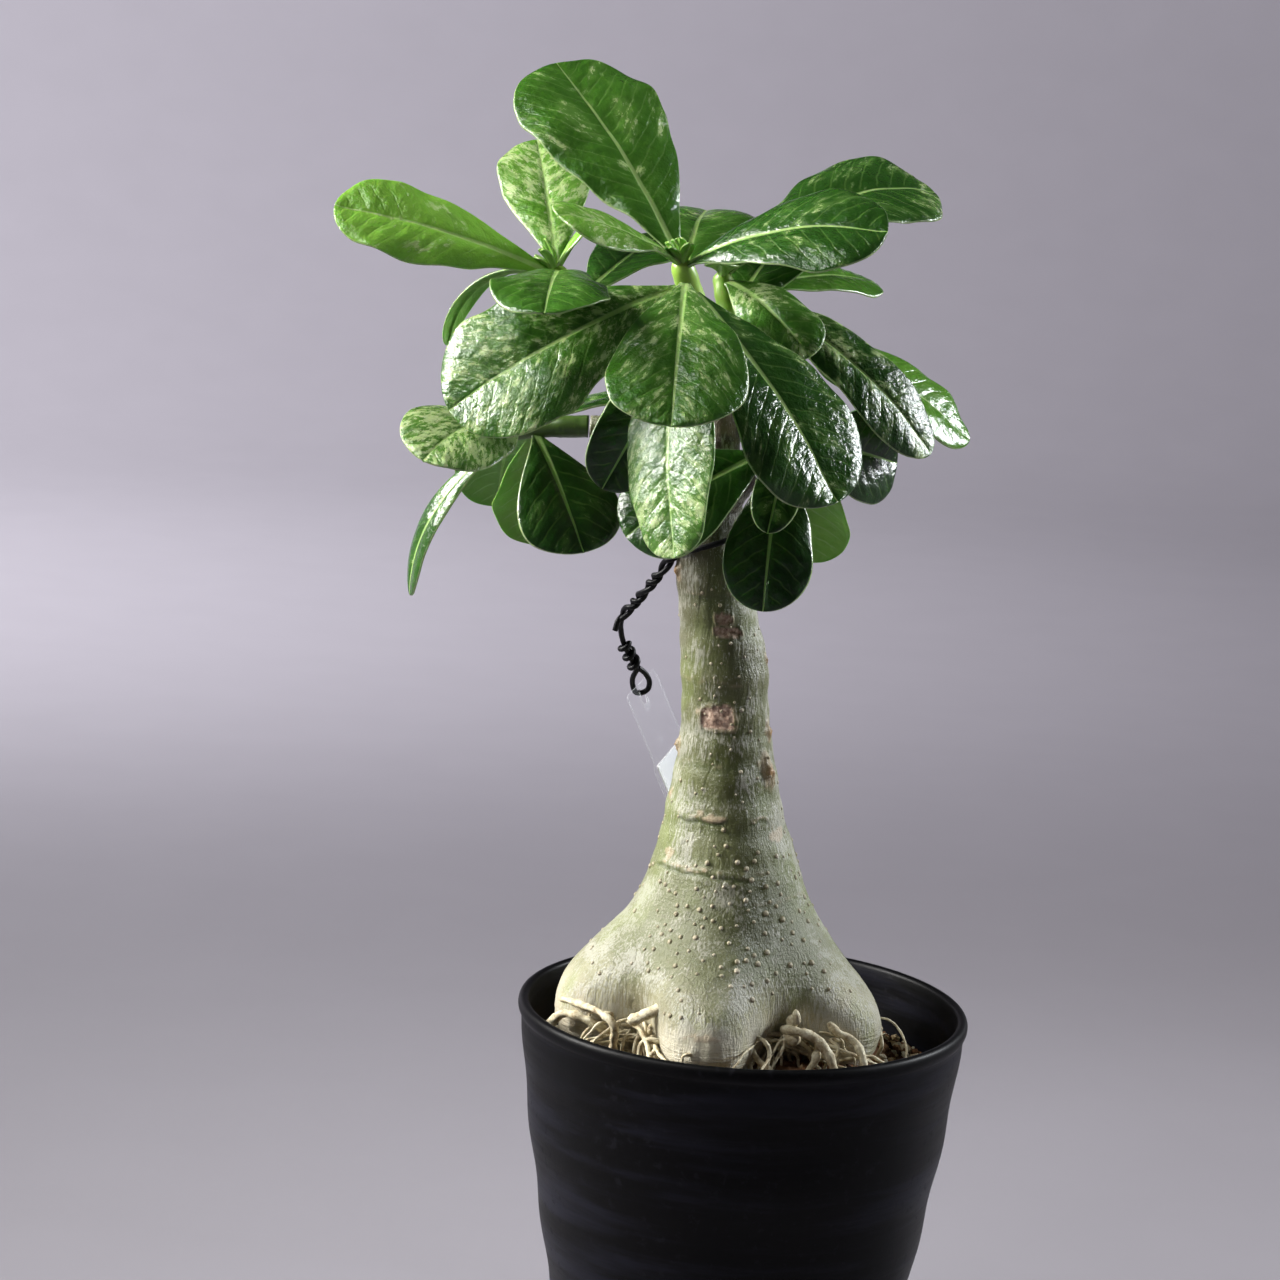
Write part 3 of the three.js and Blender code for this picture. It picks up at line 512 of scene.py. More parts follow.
def cutters():
    """Six round bars through the floor and, between them, six bars across the foot."""
    round_bar = turned_rings(np.array([[DRAIN_HOLE_RADIUS, DRAIN_BAR_FROM],
                                       [DRAIN_HOLE_RADIUS, DRAIN_BAR_TO]]), 32)
    half, high = FOOT_NOTCH["length"] / 2, FOOT_NOTCH["height"]
    square = half * np.array([[1, -1], [1, 1], [-1, 1], [-1, -1]]) + (FOOT_NOTCH["radius"], 0)
    square_bar = np.array([raised(square, -high), raised(square, high)])
    bars = Skins()
    for turn in circle(DRAIN_HOLES):
        bars.add(round_bar + raised(DRAIN_RING_RADIUS * heading(turn), 0))
        x, y = heading(turn + np.pi / DRAIN_HOLES)
        bars.add(square_bar @ np.array([[x, y, 0], [-y, x, 0], [0, 0, 1]]))
    return bars


def cut(piece, tool):
    """Takes the tool's volume out of the piece, and the tool out of the scene."""
    modifier = piece.modifiers.new("cut", "BOOLEAN")
    modifier.operation, modifier.object, modifier.solver = "DIFFERENCE", tool, "EXACT"
    done = bpy.data.meshes.new_from_object(
        piece.evaluated_get(bpy.context.evaluated_depsgraph_get()))
    piece.modifiers.clear()
    piece.data = done
    bpy.data.objects.remove(tool)


pot = Skins()
pot.add(turned_rings(pot_profile(), 192))
pot_piece = pot.piece("pot_shell", pot_black, "black_plastic", "pot")
cut(pot_piece, cutters().piece("drain_cutters", pot_black, "black_plastic"))
print("pot after the cut:", len(pot_piece.data.polygons), "faces")

# %% [markdown]
# ## Caudex and trunk
# The swollen foot is five fused roots. Seen from above, its outline is a round core with five broad
# lobes, and both shrink to one round trunk higher up. So the skin is one function of direction and
# height: a radius from a table, plus the lobes. On it sits what the bark shows: corky warts, ring
# marks where leaves stood, the scars of cut branches, a few buds and fine creases.

# %% Body shape
BODY_LINE = [  # height, axis x, axis y, radius at the lobes, radius between the lobes
    [58, -4, 0, 12, 8], [76, -5, 0, 24, 12], [92, -6, 0, 33, 15], [101, -6.5, 0, 37.6, 17],
    [107, -6.6, 0, 40.4, 20], [112, -6.6, 0, 42.6, 23], [117.5, -6.8, 0, 44, 26],
    [123, -7.2, 0, 43, 28.6], [128.5, -7.7, 0, 40, 30], [134, -7.8, 0, 35.2, 29.4],
    [139.5, -7.3, 0, 30.2, 27], [145, -6.6, 0, 25.5, 24], [153, -6.6, 0, 21.5, 21],
    [161.5, -6.7, 0, 18.6, 18.4], [168, -7.2, 0, 16.6, 16.6], [175, -7.9, 0, 15, 15],
    [182, -8.2, 0.2, 13.6, 13.6], [191, -8.9, 0.4, 12.1, 12.1], [202, -9.8, 0.6, 11.3, 11.3],
    [213, -10.6, 0.8, 11.2, 11.2], [224.5, -12.4, 1, 10.1, 10.1], [237, -14.6, 1.2, 9.4, 9.4],
    [246, -15.6, 1.6, 8.7, 8.7], [253, -15.6, 2.2, 7.6, 7.6]]
LOBES = [[194, 27, 1], [266, 24, 0.93], [346, 27, 1.02], [50, 27, 0.95], [122, 27, 0.97]]
LOBE_STEEPNESS = 2.7
BODY_BOTTOM, BODY_TOP = 58, 253


def turn_away(degrees, at):
    """How many degrees a direction is from another, from -180 to 180."""
    return (degrees - at + 540) % 360 - 180


def body_radius(degrees, height):
    """The core's radius, plus the lobes' extra radius times a flat-topped bell per lobe:
    strength * exp(-(degrees away / width) ^ steepness)."""
    line = read_line(BODY_LINE, height)
    rise = sum(strength * np.exp(-(np.abs(turn_away(degrees, at)) / width) ** LOBE_STEEPNESS)
               for at, width, strength in LOBES)
    return line[..., 3] + (line[..., 2] - line[..., 3]) * rise


def body_axis(height):
    """Where the middle of the body stands at each height."""
    return read_line(BODY_LINE, height)[..., :2]

# %% Marks on the bark
RING_MARKS = [  # height, middle direction, half width in degrees, how far it stands out, how pale
    [172.6, 246, 30, 0.34, 0.9], [173.6, 306, 14, 0.20, 0.7], [159.8, 248, 50, 0.34, 0.9],
    [186.8, 255, 60, 0.06, 0.25], [208.5, 240, 70, 0.06, 0.25], [231, 250, 60, 0.08, 0.25],
    [152.5, 330, 50, 0.06, 0.2], [166.5, 100, 60, 0.2, 0.7], [183, 60, 50, 0.12, 0.5]]
RING_PITCH = 8.6  # between the faint swellings where leaves once stood
SCARS = [  # height, direction, half width, half height
    [224.9, 279, 2.3, 1.45], [221.6, 282, 3.5, 1.25], [199, 261, 4.9, 3.0], [210, 78, 4.0, 2.8]]
BUDS = [  # height, direction, size
    [194.9, 342, 1.5], [185.4, 327, 2.4], [189.6, 192, 1.5], [213.5, 350, 0.9], [177, 196, 0.9],
    [236.3, 204, 1.4], [201, 110, 1.6], [182, 140, 1.4]]
PALE_PATCHES = [  # height, direction, half width, half height
    [169, 326, 3.2, 1.9], [173.6, 262, 2.8, 0.9], [174.6, 246, 1.8, 1.2], [162.0, 216, 1.6, 2.2],
    [122, 268, 4.4, 0.8], [116, 296, 3.0, 1.0], [158, 20, 3.0, 1.4]]
BARK_GRAIN = [  # how far it stands out, grains per mm round and up, seed, heights it sets in over
    [0.45, 0.045, 0.03, 3, 100, 118], [0.14, 0.5, 0.12, 4, 0, 1],
    [0.24, 0.12, 0.9, 5, 122, 113], [0.12, 0.8, 0.15, 7, 146, 120]]


def body_relief(degrees, height, places, radius):
    """How far the bark stands out in mm; its marks (scar, pale cork and bud, each 0 to 1); and its
    lines: painted shade as a dark green line in the troughs between the swellings and in the groove
    under a ring mark, the trunk's darker front, partly its own olive and partly painted shade, and a
    painted patch of light on the front lobe's low end."""
    relief = sum(tall * rough(places * (wide, wide, up), seed) * smoothstep(height, start, full)
                 for tall, wide, up, seed, start, full in BARK_GRAIN)
    swell = np.sin(2 * np.pi * (height + 1.6 * rough(places * 0.06, 8)) / RING_PITCH)
    relief += 0.14 * swell * smoothstep(height, 150, 170)
    marks, lines = np.zeros(places.shape), np.zeros(places.shape)
    low = smoothstep(height, 168, 156)
    # Painted shade: lines[..., 0] is a dark green line in the troughs between the ring swellings and
    # in the groove under each ring mark.
    lines[..., 0] = 0.24 * np.maximum(-swell, 0) * smoothstep(height, 156, 168)
    # Partly painted shade: lines[..., 1] darkens the trunk's front, which the lamps at the sides
    # leave in shade, over the bark's own olive.
    lines[..., 1] = bell(turn_away(degrees, 280 + 10 * low), 42 + 8 * low)
    lines[..., 1] *= smoothstep(height, 126, 144)
    # Painted light: lines[..., 2] lightens the front lobe's low end, standing in for the light that
    # falls on it there.
    lines[..., 2] = bell(turn_away(degrees, 266), 24) * smoothstep(height, 127, 119)
    for number, (at, way, half, rise, pale_) in enumerate(RING_MARKS):
        level = at + 0.5 * noise(places * (0.12, 0.12, 0), 6 + number) \
            + 0.5 * noise(places * (0.5, 0.5, 0), 16 + number)
        ragged = half * (1 + 0.3 * noise(places * (0.3, 0.3, 0.8), 26 + number))
        broken = smoothstep(np.abs(turn_away(degrees, way)), ragged, ragged * 0.75)
        flaky = smoothstep(noise(places * (0.5, 0.5, 1.6), 50 + number), -0.15, 0.35) \
            * (1 + 0.5 * noise(places * 1.6, 60 + number))
        relief += rise * (bell(height - level, 0.7) * (0.5 + 0.5 * flaky)
                          - 0.9 * bell(height - level + 1.2, 0.42)) * broken
        marks[..., 1] += pale_ * bell(height - level, 0.6) * broken * flaky
        # painted shade in the groove under the ring mark
        lines[..., 0] += pale_ * bell(height - level + 1.1, 0.55) * broken
    for at, way, wide, high in SCARS:
        along = np.radians(turn_away(degrees, way)) * radius
        away = (np.abs(along / wide) ** 3 + np.abs((height - at) / high) ** 3) ** (1 / 3) \
            + 0.16 * noise(places * 0.45, 9) + 0.12 * noise(places * 1.3, 10)
        relief += 0.34 * bell(away - 1.08, 0.10) - 0.34 * smoothstep(away, 1.0, 0.88)
        relief += 0.24 * smoothstep(away, 1, 0.85) * noise(places * 1.1, 12)
        marks[..., 0] += smoothstep(away, 1.04, 0.95)
        marks[..., 1] += 0.7 * bell(away - 1.12, 0.09) \
            * smoothstep(noise(places * (0.6, 0.6, 1.0), 19), -0.6, 0.2)
    for at, way, size in BUDS:
        away = np.hypot(np.radians(turn_away(degrees, way)) * radius * 1.3, (height - at) * 0.8)
        away = away * (1 + 0.35 * noise(places * 0.8, 14))
        relief += size * (0.8 + 0.4 * noise(places * 1.5, 15)) * bell(away, size)
        marks[..., 2] += bell(away, size * 0.75)
        marks[..., 1] += 0.6 * bell(away - size * 1.2, size * 0.35)
    for at, way, wide, high in PALE_PATCHES:
        along = np.radians(turn_away(degrees, way)) * radius
        away = np.hypot(along / wide, (height - at) / high) + 0.7 * noise(places * 0.7, 13)
        relief += 0.10 * smoothstep(away, 1.0, 0.8)
        marks[..., 1] += 0.7 * smoothstep(away, 1.05, 0.75)
    return relief, marks, lines


def body_skin(degrees, height):
    """Places on the bark with its relief, which fades out at both ends, its marks and its lines."""
    outward = heading(np.radians(degrees))
    radius = body_radius(degrees, height)
    places = raised(body_axis(height) + radius[..., None] * outward, height)
    relief, marks, lines = body_relief(degrees, height, places, radius)
    fade = smoothstep(height, BODY_BOTTOM, 70) * smoothstep(height, BODY_TOP + 0.5, 248)
    places[..., :2] += (relief * fade)[..., None] * outward
    return places, marks, lines


def body_rings(rows=290, sides=300):
    """Rings of the body from its buried end to the trunk's top, closer together above the soil."""
    levels = np.interp(np.linspace(0, 1, rows), [0, 0.06, 0.13, 0.62, 1],
                       [BODY_BOTTOM, 98, 108, 180, BODY_TOP])
    degrees = np.linspace(0, 360, sides, endpoint=False)
    places, marks, lines = body_skin(*np.broadcast_arrays(degrees[None], levels[:, None]))
    return places, np.clip(marks, 0, 1), np.clip(lines, 0, 1)

# %% Bark finish
bark = Finish("olive_bark", specular_ior_level=0.5)
level = bark.place.parts()[2]
scar, pale, bud = bark.attribute("marks")
# line is painted shade in the grooves; front is the trunk's front, its own olive deepened by painted
# shade; foot is a painted patch of light on the front lobe's low end
line, front, foot = bark.attribute("lines")
broad = bark.grain((1, 1, 0.5), 0.06, 3)
# The ramp ends in dark brown at the top of the trunk and on the branches: partly the wood's own
# brown, partly painted shade under the crown of leaves.
skin = bark.ramp((level - 100) / 160 + (broad - 0.5) * 0.26, [
    (0.00, (0.55, 0.50, 0.35)), (0.09, (0.54, 0.49, 0.35)), (0.15, (0.36, 0.345, 0.21)),
    (0.22, (0.165, 0.175, 0.078)), (0.38, (0.155, 0.168, 0.066)), (0.60, (0.155, 0.165, 0.066)),
    (0.78, (0.145, 0.145, 0.074)), (0.86, (0.105, 0.090, 0.055)), (0.94, (0.065, 0.047, 0.032))])
moss = bark.grain((1, 1, 0.6), 0.06, 3).step(0.50, 0.64)
rosy = bark.grain((1, 1, 0.8), 0.05, 2).step(0.56, 0.44) * level.step(138, 122)
# the front's painted shade is darkest at heights of 144 to 154 and 182 to 192 mm, and palest at
# 161 to 165
low_band = level.step(134, 144) * level.step(160, 154)
high_band = level.step(176, 182) * level.step(200, 192)
pale_band = level.step(156, 161) * level.step(170, 165)
strips = bark.grain((1.0, 1.0, 0.16), 1.9, 4, 0.65)
cork = bark.grain(bark.place, 0.10, 4, 0.6)
# the pale film thins on the front, part of the front's painted shade
film = (strips + cork - 0.5 - front * 0.14).step(0.44, 0.60)
creases = bark.grain((0.30, 0.30, 2.2), 0.8, 4, 0.6)
grit = bark.grain((1, 1, 0.6), 1.9, 3, 0.7).step(0.60, 0.70)
corky = bark.ramp(bark.grain(bark.place, 1.1, 4), [
    (0.3, (0.15, 0.085, 0.055)), (0.48, (0.38, 0.25, 0.18)), (0.70, (0.62, 0.48, 0.37))])
on_foot = level.step(122, 114)
for share, colour in (
        (moss * 0.42, (0.22, 0.27, 0.075)),
        (rosy * 0.30, (0.36, 0.29, 0.23)),
        # the front's own olive, deepened by painted shade
        (front * (0.68 + (low_band + high_band - pale_band) * 0.22), (0.056, 0.064, 0.010)),
        (film * (0.66 - low_band * 0.16), (0.46, 0.45, 0.38)),
        # painted light on the front lobe's low end
        (foot * 0.72, (0.74, 0.69, 0.54)),
        (creases.step(0.55, 0.64) * on_foot * 0.4, (0.24, 0.20, 0.13)),
        (grit * 0.42, (0.64, 0.63, 0.57)),
        # painted shade: the dark green line in the bark's grooves and troughs
        (line * 0.8, (0.06, 0.085, 0.02)),
        (pale * 0.8, bark.mix(grit, (0.46, 0.35, 0.23), (0.74, 0.66, 0.52))),
        (scar, corky),
        (bud * 0.9, bark.mix(grit, (0.40, 0.22, 0.09), (0.70, 0.52, 0.30)))):
    skin = bark.mix(share, skin, colour)
bark.set(base_color=skin, roughness=0.38 + grit * 0.15 + scar * 0.3 + pale * 0.15)
folds = bark.grain((1.6, 1.6, 0.35), 0.8, 4, 0.6)
bark.bump(strips * 0.30 + creases * on_foot * 0.75 + creases * 0.10
          + folds * level.step(146, 132) * 0.34
          + bark.grain(bark.place, 1.6, 4, 0.65) * 0.16 + grit * 0.05)

# %% Trunk piece
trunk = Skins()
places, marks, lines = body_rings()
trunk.add(places, marks=marks, lines=lines)
trunk.piece("caudex_and_trunk", bark, "bark", "caudex_trunk")

# %% [markdown]
# ## Warts
# The bark breathes through corky warts, each about a millimetre and a half across. Most stand on
# the front and sides where the foot runs into the trunk. They are too small for the trunk's grid,
# so each is a low dome of a few dozen faces, turned to the bark's direction and sunk into it. The
# same tool that lays them out places the soil's grains later.

# %% Many small bodies in one mesh
def scattered(name, shape, places, axes, finish, slot, node, smooth, **values):
    """One mesh of many copies of a shape, given as points and triangles. axes[k] holds copy k's
    three half axes as rows; a value is one row of three numbers per copy."""
    points, faces = shape
    corners = points[None] @ axes + places[:, None]
    index = faces[None] + (np.arange(len(places)) * len(points))[:, None, None]
    spread = {key: np.repeat(np.broadcast_to(rows, places.shape), len(points), 0)
              for key, rows in values.items()}
    return make_piece(name, finish, [node], corners.reshape(-1, 3), np.zeros((0, 4), int),
                      index.reshape(-1, 3), spread, smooth)


def dome(sides=8):
    """A low dome: rings of eight points below, at and above its edge, and a pole at both ends."""
    rings = turned_rings(np.array([[0.9, -0.8], [1.0, 0.05], [0.70, 0.66]]), sides)
    points = np.vstack([rings.reshape(-1, 3), [[0, 0, -0.8], [0, 0, 1]]])
    index = np.arange(3 * sides).reshape(3, sides)
    after = np.roll(index, -1, 1)
    under, over = 3 * sides, 3 * sides + 1
    rows = [(after[0], index[0], under), (index[2], after[2], over)]
    for k in range(2):
        rows += [(index[k], after[k], after[k + 1]), (index[k], after[k + 1], index[k + 1])]
    return points, np.vstack([columns(*row) for row in rows])

# %% Warts on the bark
WARTS = {"seed": 21, "count": 420, "radius": [0.45, 0.85], "flat": 0.62, "apart": 2.2,
         "crowd": [146, 9], "crowd_share": 0.66, "others": [134, 234], "shrink": [150, 180, 0.72],
         "front": 274, "spread": [26, 80], "lowest": 126, "highest": 236}


def make_warts():
    """Heights crowd towards the foot and directions towards the front. A wart too close to an
    earlier one is left out. Its axes run round the trunk, up along the bark and out of it."""
    random = np.random.default_rng(WARTS["seed"])
    count = WARTS["count"]
    middle, spread = WARTS["crowd"]
    height = np.where(random.random(count) < WARTS["crowd_share"],
                      middle + spread * random.normal(size=count),
                      between(random.random(count), WARTS["others"]))
    spread = np.where(random.random(count) < 0.5, *WARTS["spread"])
    degrees = (WARTS["front"] + spread * random.normal(size=count)) % 360
    size = between(random.random(count) ** 1.4, WARTS["radius"])
    start, end, least = WARTS["shrink"]
    size = size * np.interp(height, [start, end], [1, least])

    places = body_skin(degrees, height)[0]
    gap = np.linalg.norm(places[:, None] - places[None], axis=-1)
    close = np.tril(gap < WARTS["apart"], -1).any(1)
    keep = ~close & (height > WARTS["lowest"]) & (height < WARTS["highest"])
    degrees, height, size, places = degrees[keep], height[keep], size[keep], places[keep]
    around = unit(body_skin(degrees + 3, height)[0] - body_skin(degrees - 3, height)[0])
    up = unit(body_skin(degrees, height + 1)[0] - body_skin(degrees, height - 1)[0])
    out = unit(np.cross(around, up))
    axes = np.stack([around, np.cross(out, around), out * WARTS["flat"]], 1) * size[:, None, None]
    # lines' third number gives the warts a quarter of the same pale colour, as their own pale tint
    return scattered("bark_warts", dome(), places + out * 0.02, axes, bark, "bark", "caudex_trunk",
                     True, marks=(0, 0.50, 0.0), lines=(0, 0, 0.25))


print("warts:", len(make_warts().data.polygons) // len(dome()[1]))

# %% [markdown]
# ## Woody branches and wiry roots
# The branches leave the trunk's top under the leaves. They are bars along smooth curves, thick at
# the trunk and slimmer outwards, with ring marks of fallen leaves. The roots come off the base like
# wires, with knots and nubs, and dive into the soil. Both are the plant's own wood, so they stand
# for the same CAD node as the trunk.

# %% Branches
BRANCHES = {  # radius at the trunk, at the wood's end and at the tip, the wood's share, points
    "front": (7.4, 3.8, 3, 0.6, [[-15.5, 1.5, 246], [-14.8, 3, 262], [-15, 3.5, 276],
                                 [-18.5, 1, 292], [-23.5, -6, 306], [-27.3, -12, 317]]),
    "right": (4.4, 3.4, 2.6, 0.55, [[-14.9, 3.5, 268], [-13, 9, 283], [-14, 15, 297],
                                    [-17.2, 20, 312.5]]),
    "left": (4.6, 3.4, 2.6, 0.6, [[-15.5, 3, 259], [-25, 7, 277], [-38, 11, 291], [-52, 12, 302],
                                  [-61.2, 12, 311.6]]),
    "low_left": (4.4, 3, 2.4, 0.66, [[-15.5, 2, 250], [-27, 4, 262], [-42, 5, 270.5],
                                     [-57, 5, 271], [-70, 5, 268.8]]),
    "low_right": (4.2, 3.4, 2.6, 0.5, [[-14.5, 0, 250], [-8, -3, 261], [-1, -1.5, 268.5],
                                       [5, 1, 273]]),
    "back": (4.6, 3.4, 2.6, 0.6, [[-15, 3, 252], [-18, 15, 265], [-22, 32, 276], [-26, 52, 284]]),
}
BRANCH_CURVES = {name: curve(branch[-1]) for name, branch in BRANCHES.items()}
BRANCH_RING_PITCH = 4.6
SIDEWAYS = np.array([0.31, -0.93, 0.18])


def wood_rings(name, rows=70, sides=40):
    """A bar whose radius follows the square root of the way along it, with low rings where leaves
    stood and a slightly uneven skin."""
    start, end, _, wood, _ = BRANCHES[name]
    at, length = BRANCH_CURVES[name]
    t = np.linspace(0, 1, rows)
    path = at(t * wood)
    ringed = np.maximum(np.sin(2 * np.pi * t * length * wood / BRANCH_RING_PITCH), 0) ** 3
    radius = start + (end - start) * np.sqrt(t) + 0.16 * ringed
    rings = tube(path, radius, sides, SIDEWAYS)
    relief = 0.25 * rough(rings * 0.22, 41) + 0.1 * rough(rings * 0.9, 42)
    relief = relief * smoothstep(t, 1, 0.94)[:, None] / radius[:, None]
    return path[:, None] + (rings - path[:, None]) * (1 + relief[..., None])


branches = Skins()
for name in BRANCHES:
    rings = wood_rings(name)
    branches.add(rings, marks=columns(0, 0.5 * smoothstep(noise(rings * 0.3, 43), 0.1, 0.7), 0))
branches.piece("woody_branches", bark, "bark", "caudex_trunk")

# %% Roots
ROOTS = [  # points, radius at both ends
    ([[-44, -8, 121], [-47.8, -13, 122], [-43, -20, 122.7], [-36.5, -27, 122.5], [-33, -29, 120],
      [-33, -26, 113], [-31, -27, 104]], 0.9, 1),
    ([[-52, -14, 104], [-51.5, -17.5, 113], [-47, -19.5, 119.5], [-40, -22.5, 119],
      [-34, -21, 115]], 1.2, 1.2),
    ([[-19, -31, 127], [-24.5, -31.5, 124.5], [-29, -29.5, 121.5]], 1.6, 1.7),
    ([[12.5, -24, 123], [14.2, -28.8, 124.6], [13.6, -28.6, 127.4]], 1.5, 1.1),
    ([[12, -24, 119], [14.6, -28.5, 119]], 2, 2.3),
    ([[10.5, -24, 120.5], [14, -28.4, 121.6], [19, -28.2, 120], [22, -28.5, 117], [25, -29, 111],
      [26, -30, 103]], 1.5, 1),
    ([[20.5, -26, 119], [19.5, -27.5, 114], [17, -28, 109], [15.5, -28.5, 103]], 1.1, 0.8),
    ([[21.5, -19, 123], [24.5, -22.5, 120.5], [29.5, -23, 118.2], [32, -25, 114],
      [33.5, -27, 104]], 1.1, 0.9),
    ([[2, -31, 118], [5, -34, 114.5], [9, -32.5, 111], [14, -31, 104]], 0.8, 0.7),
]


def root_rings(points, start, end, seed, sides=16):
    """A bar along the root's curve, with knots: its radius swells by noise along its length. Both
    ends are rounded, and its skin is bumpy."""
    at, length = curve(points)
    t = np.linspace(0, 1, max(12, int(length / 0.55)))
    path = at(t)
    knots = 1 + 0.22 * noise(columns(t * length * 0.45, 0, seed), 51)
    to_end = np.minimum(t, 1 - t) * length / start
    rounding = np.sqrt(np.clip(1 - (1 - to_end) ** 2, 0.05, 1))
    radius = (start + (end - start) * t) * knots * np.where(to_end < 1, rounding, 1)
    rings = tube(path, radius, sides, unit(np.array([0.2, 0.5, 0.84])))
    bumpy = 0.16 * rough(rings * 0.8, 52) + 0.10 * rough(rings * 2.0, 53)
    bumpy = bumpy * np.minimum(1, radius)[:, None]
    return rings + bumpy[..., None] * unit(rings - path[:, None])


root_finish = Finish("root_skin", specular_ior_level=0.35)
dirt = root_finish.grain(root_finish.place, 0.55, 4, 0.65)
root_finish.set(base_color=root_finish.ramp(dirt, [
    (0.30, (0.26, 0.185, 0.10)), (0.44, (0.53, 0.45, 0.29)), (0.58, (0.72, 0.66, 0.47)),
    (0.75, (0.80, 0.76, 0.60))]), roughness=0.55 + dirt * 0.2)
root_finish.bump(root_finish.grain(root_finish.place, 1.6, 4, 0.65) * 0.25)
roots = Skins()
for number, (points, start, end) in enumerate(ROOTS):
    roots.add(root_rings(points, start, end, number))
roots.piece("wiry_roots", root_finish, "bark", "caudex_trunk")

# %% Fine rootlets in the hollows between the lobes
HOLLOWS = [[230, 26], [306, 26], [20, 5], [86, 8], [158, 8]]  # direction, how many
ROOTLETS = {"seed": 77, "radius": [0.28, 0.75], "lowest": 104, "reach": 53.5}


def rootlet_points(way, random):
    """Seven points that leave the bark in a hollow, wander out and dive into the soil."""
    s = np.linspace(0, 1, 7)
    turn = way + random.normal() * 14 + s * random.normal() * 20 + random.normal(size=7) * 1.2
    start = random.uniform(109, 121)
    height = start + (ROOTLETS["lowest"] - start) * s ** 1.5
    height = height + random.uniform(0.5, 4) * np.sin(np.pi * s) + random.normal(size=7) * 0.25
    out = body_radius(turn, height) - 0.8 + random.uniform(4, 13) * s ** 0.8
    flat = body_axis(height) + out[:, None] * heading(np.radians(turn))
    far = np.linalg.norm(flat, axis=1, keepdims=True)
    return raised(flat * np.minimum(1, ROOTLETS["reach"] / far), height)


rootlets = Skins()
random = np.random.default_rng(ROOTLETS["seed"])
for way, count in HOLLOWS:
    for number in range(count):
        thick = random.uniform(*ROOTLETS["radius"])
        rootlets.add(root_rings(rootlet_points(way, random), thick, thick * 0.7, number, 8))
rootlets.piece("fine_rootlets", root_finish, "bark", "caudex_trunk")

# %% [markdown]
# ## Soil
# The soil is a coarse mix of baked clay grains and pale grit, heaped against the foot of the plant.
# Its body is a stack of rings that starts in the middle of the hole that the caudex fills, comes up
# along the caudex, crosses the top to the wall, and closes over the pot's floor. Its loose grains
# are small twenty-sided stones, each squashed, turned and tinted by a seeded draw.

# %% Soil body
SOIL_EDGE, SOIL_MIDDLE, SOIL_MIDDLE_RADIUS, SOIL_EDGE_RADIUS = 102.5, 111.5, 26, 54
SOIL_CLEAR = 0.4  # the gap to the pot and to the plant
SOIL_HOLE_TOP = 106
SOIL_WALL = [[55.2, 98.0], [48.2, 54.0], [39.6, 6.4], [38.1, 4.9], [20, 4.9], [0.2, 4.9]]
SOIL_RADIUS = 55.3  # where the top meets the wall


def soil_height(radius):
    """The heap's height: its middle's height, down to the edge's by a smoothstep of the radius."""
    return SOIL_MIDDLE + (SOIL_EDGE - SOIL_MIDDLE) * smoothstep(
        radius, SOIL_MIDDLE_RADIUS, SOIL_EDGE_RADIUS)


def soil_rings(sides=288):
    """Rings from the middle of the plant's hole, up its side, over the top, down the wall and back
    to the axis at the bottom."""
    degrees = np.linspace(0, 360, sides, endpoint=False)
    out = heading(np.radians(degrees))
    hole = np.linspace(BODY_BOTTOM, SOIL_HOLE_TOP, 26)
    side = body_radius(degrees[None], hole[:, None]) + SOIL_CLEAR
    up_plant = raised(body_axis(hole)[:, None] + side[..., None] * out, hole[:, None])
    start = up_plant[:1] - (0, 0, 0.3)
    middle = start.mean(1, keepdims=True)
    pole = middle + (start - middle) * 0.02
    share = smoothstep(np.linspace(0, 1, 56), -0.2, 1.2)[:, None, None]
    share = (share - share[0]) / (share[-1] - share[0])
    flat = up_plant[-1, :, :2] * (1 - share) + SOIL_RADIUS * out * share
    level = soil_height(np.linalg.norm(flat, axis=-1))
    spots = raised(flat, level)
    level = level + 0.75 * rough(spots * 0.16, 61) + 0.45 * rough(spots * 0.6, 62)
    level += np.where(share[..., 0] > 0.97, -0.8, 0)
    level[0] = np.minimum(level[0], 108.5)
    wall = turned_rings(np.array(SOIL_WALL), sides)
    return np.vstack([pole, start, up_plant, raised(flat, level), wall])[::-1]

# %% Soil finish
soil_brown = Finish("gritty_soil", roughness=0.92, specular_ior_level=0.25)
tint, shade, _ = soil_brown.attribute("grain")
speck = soil_brown.grain(soil_brown.place, 0.9, 5, 0.65)
earth = soil_brown.ramp(tint + (speck - 0.5) * 0.35, [
    (0.05, (0.040, 0.018, 0.009)), (0.25, (0.13, 0.060, 0.026)), (0.45, (0.25, 0.125, 0.058)),
    (0.65, (0.36, 0.24, 0.125)), (0.82, (0.50, 0.42, 0.27)), (0.95, (0.60, 0.56, 0.44))])
# Painted shade: the soil bed's shade value darkens it, as the shade between and under the loose
# grains; the grains themselves have none.
soil_brown.set(base_color=soil_brown.mix(shade * 0.5, earth, (0.04, 0.022, 0.012)))
soil_brown.bump(soil_brown.grain(soil_brown.place, 1.4, 5, 0.7) * 0.5)

# %% Soil pieces
GRAINS = {"seed": 31, "count": 1500, "size": [0.55, 1.75], "radius": [24, 55.4], "reach": 55.9}
SPIRAL_STEP = 137.508  # degrees from one grain to the next


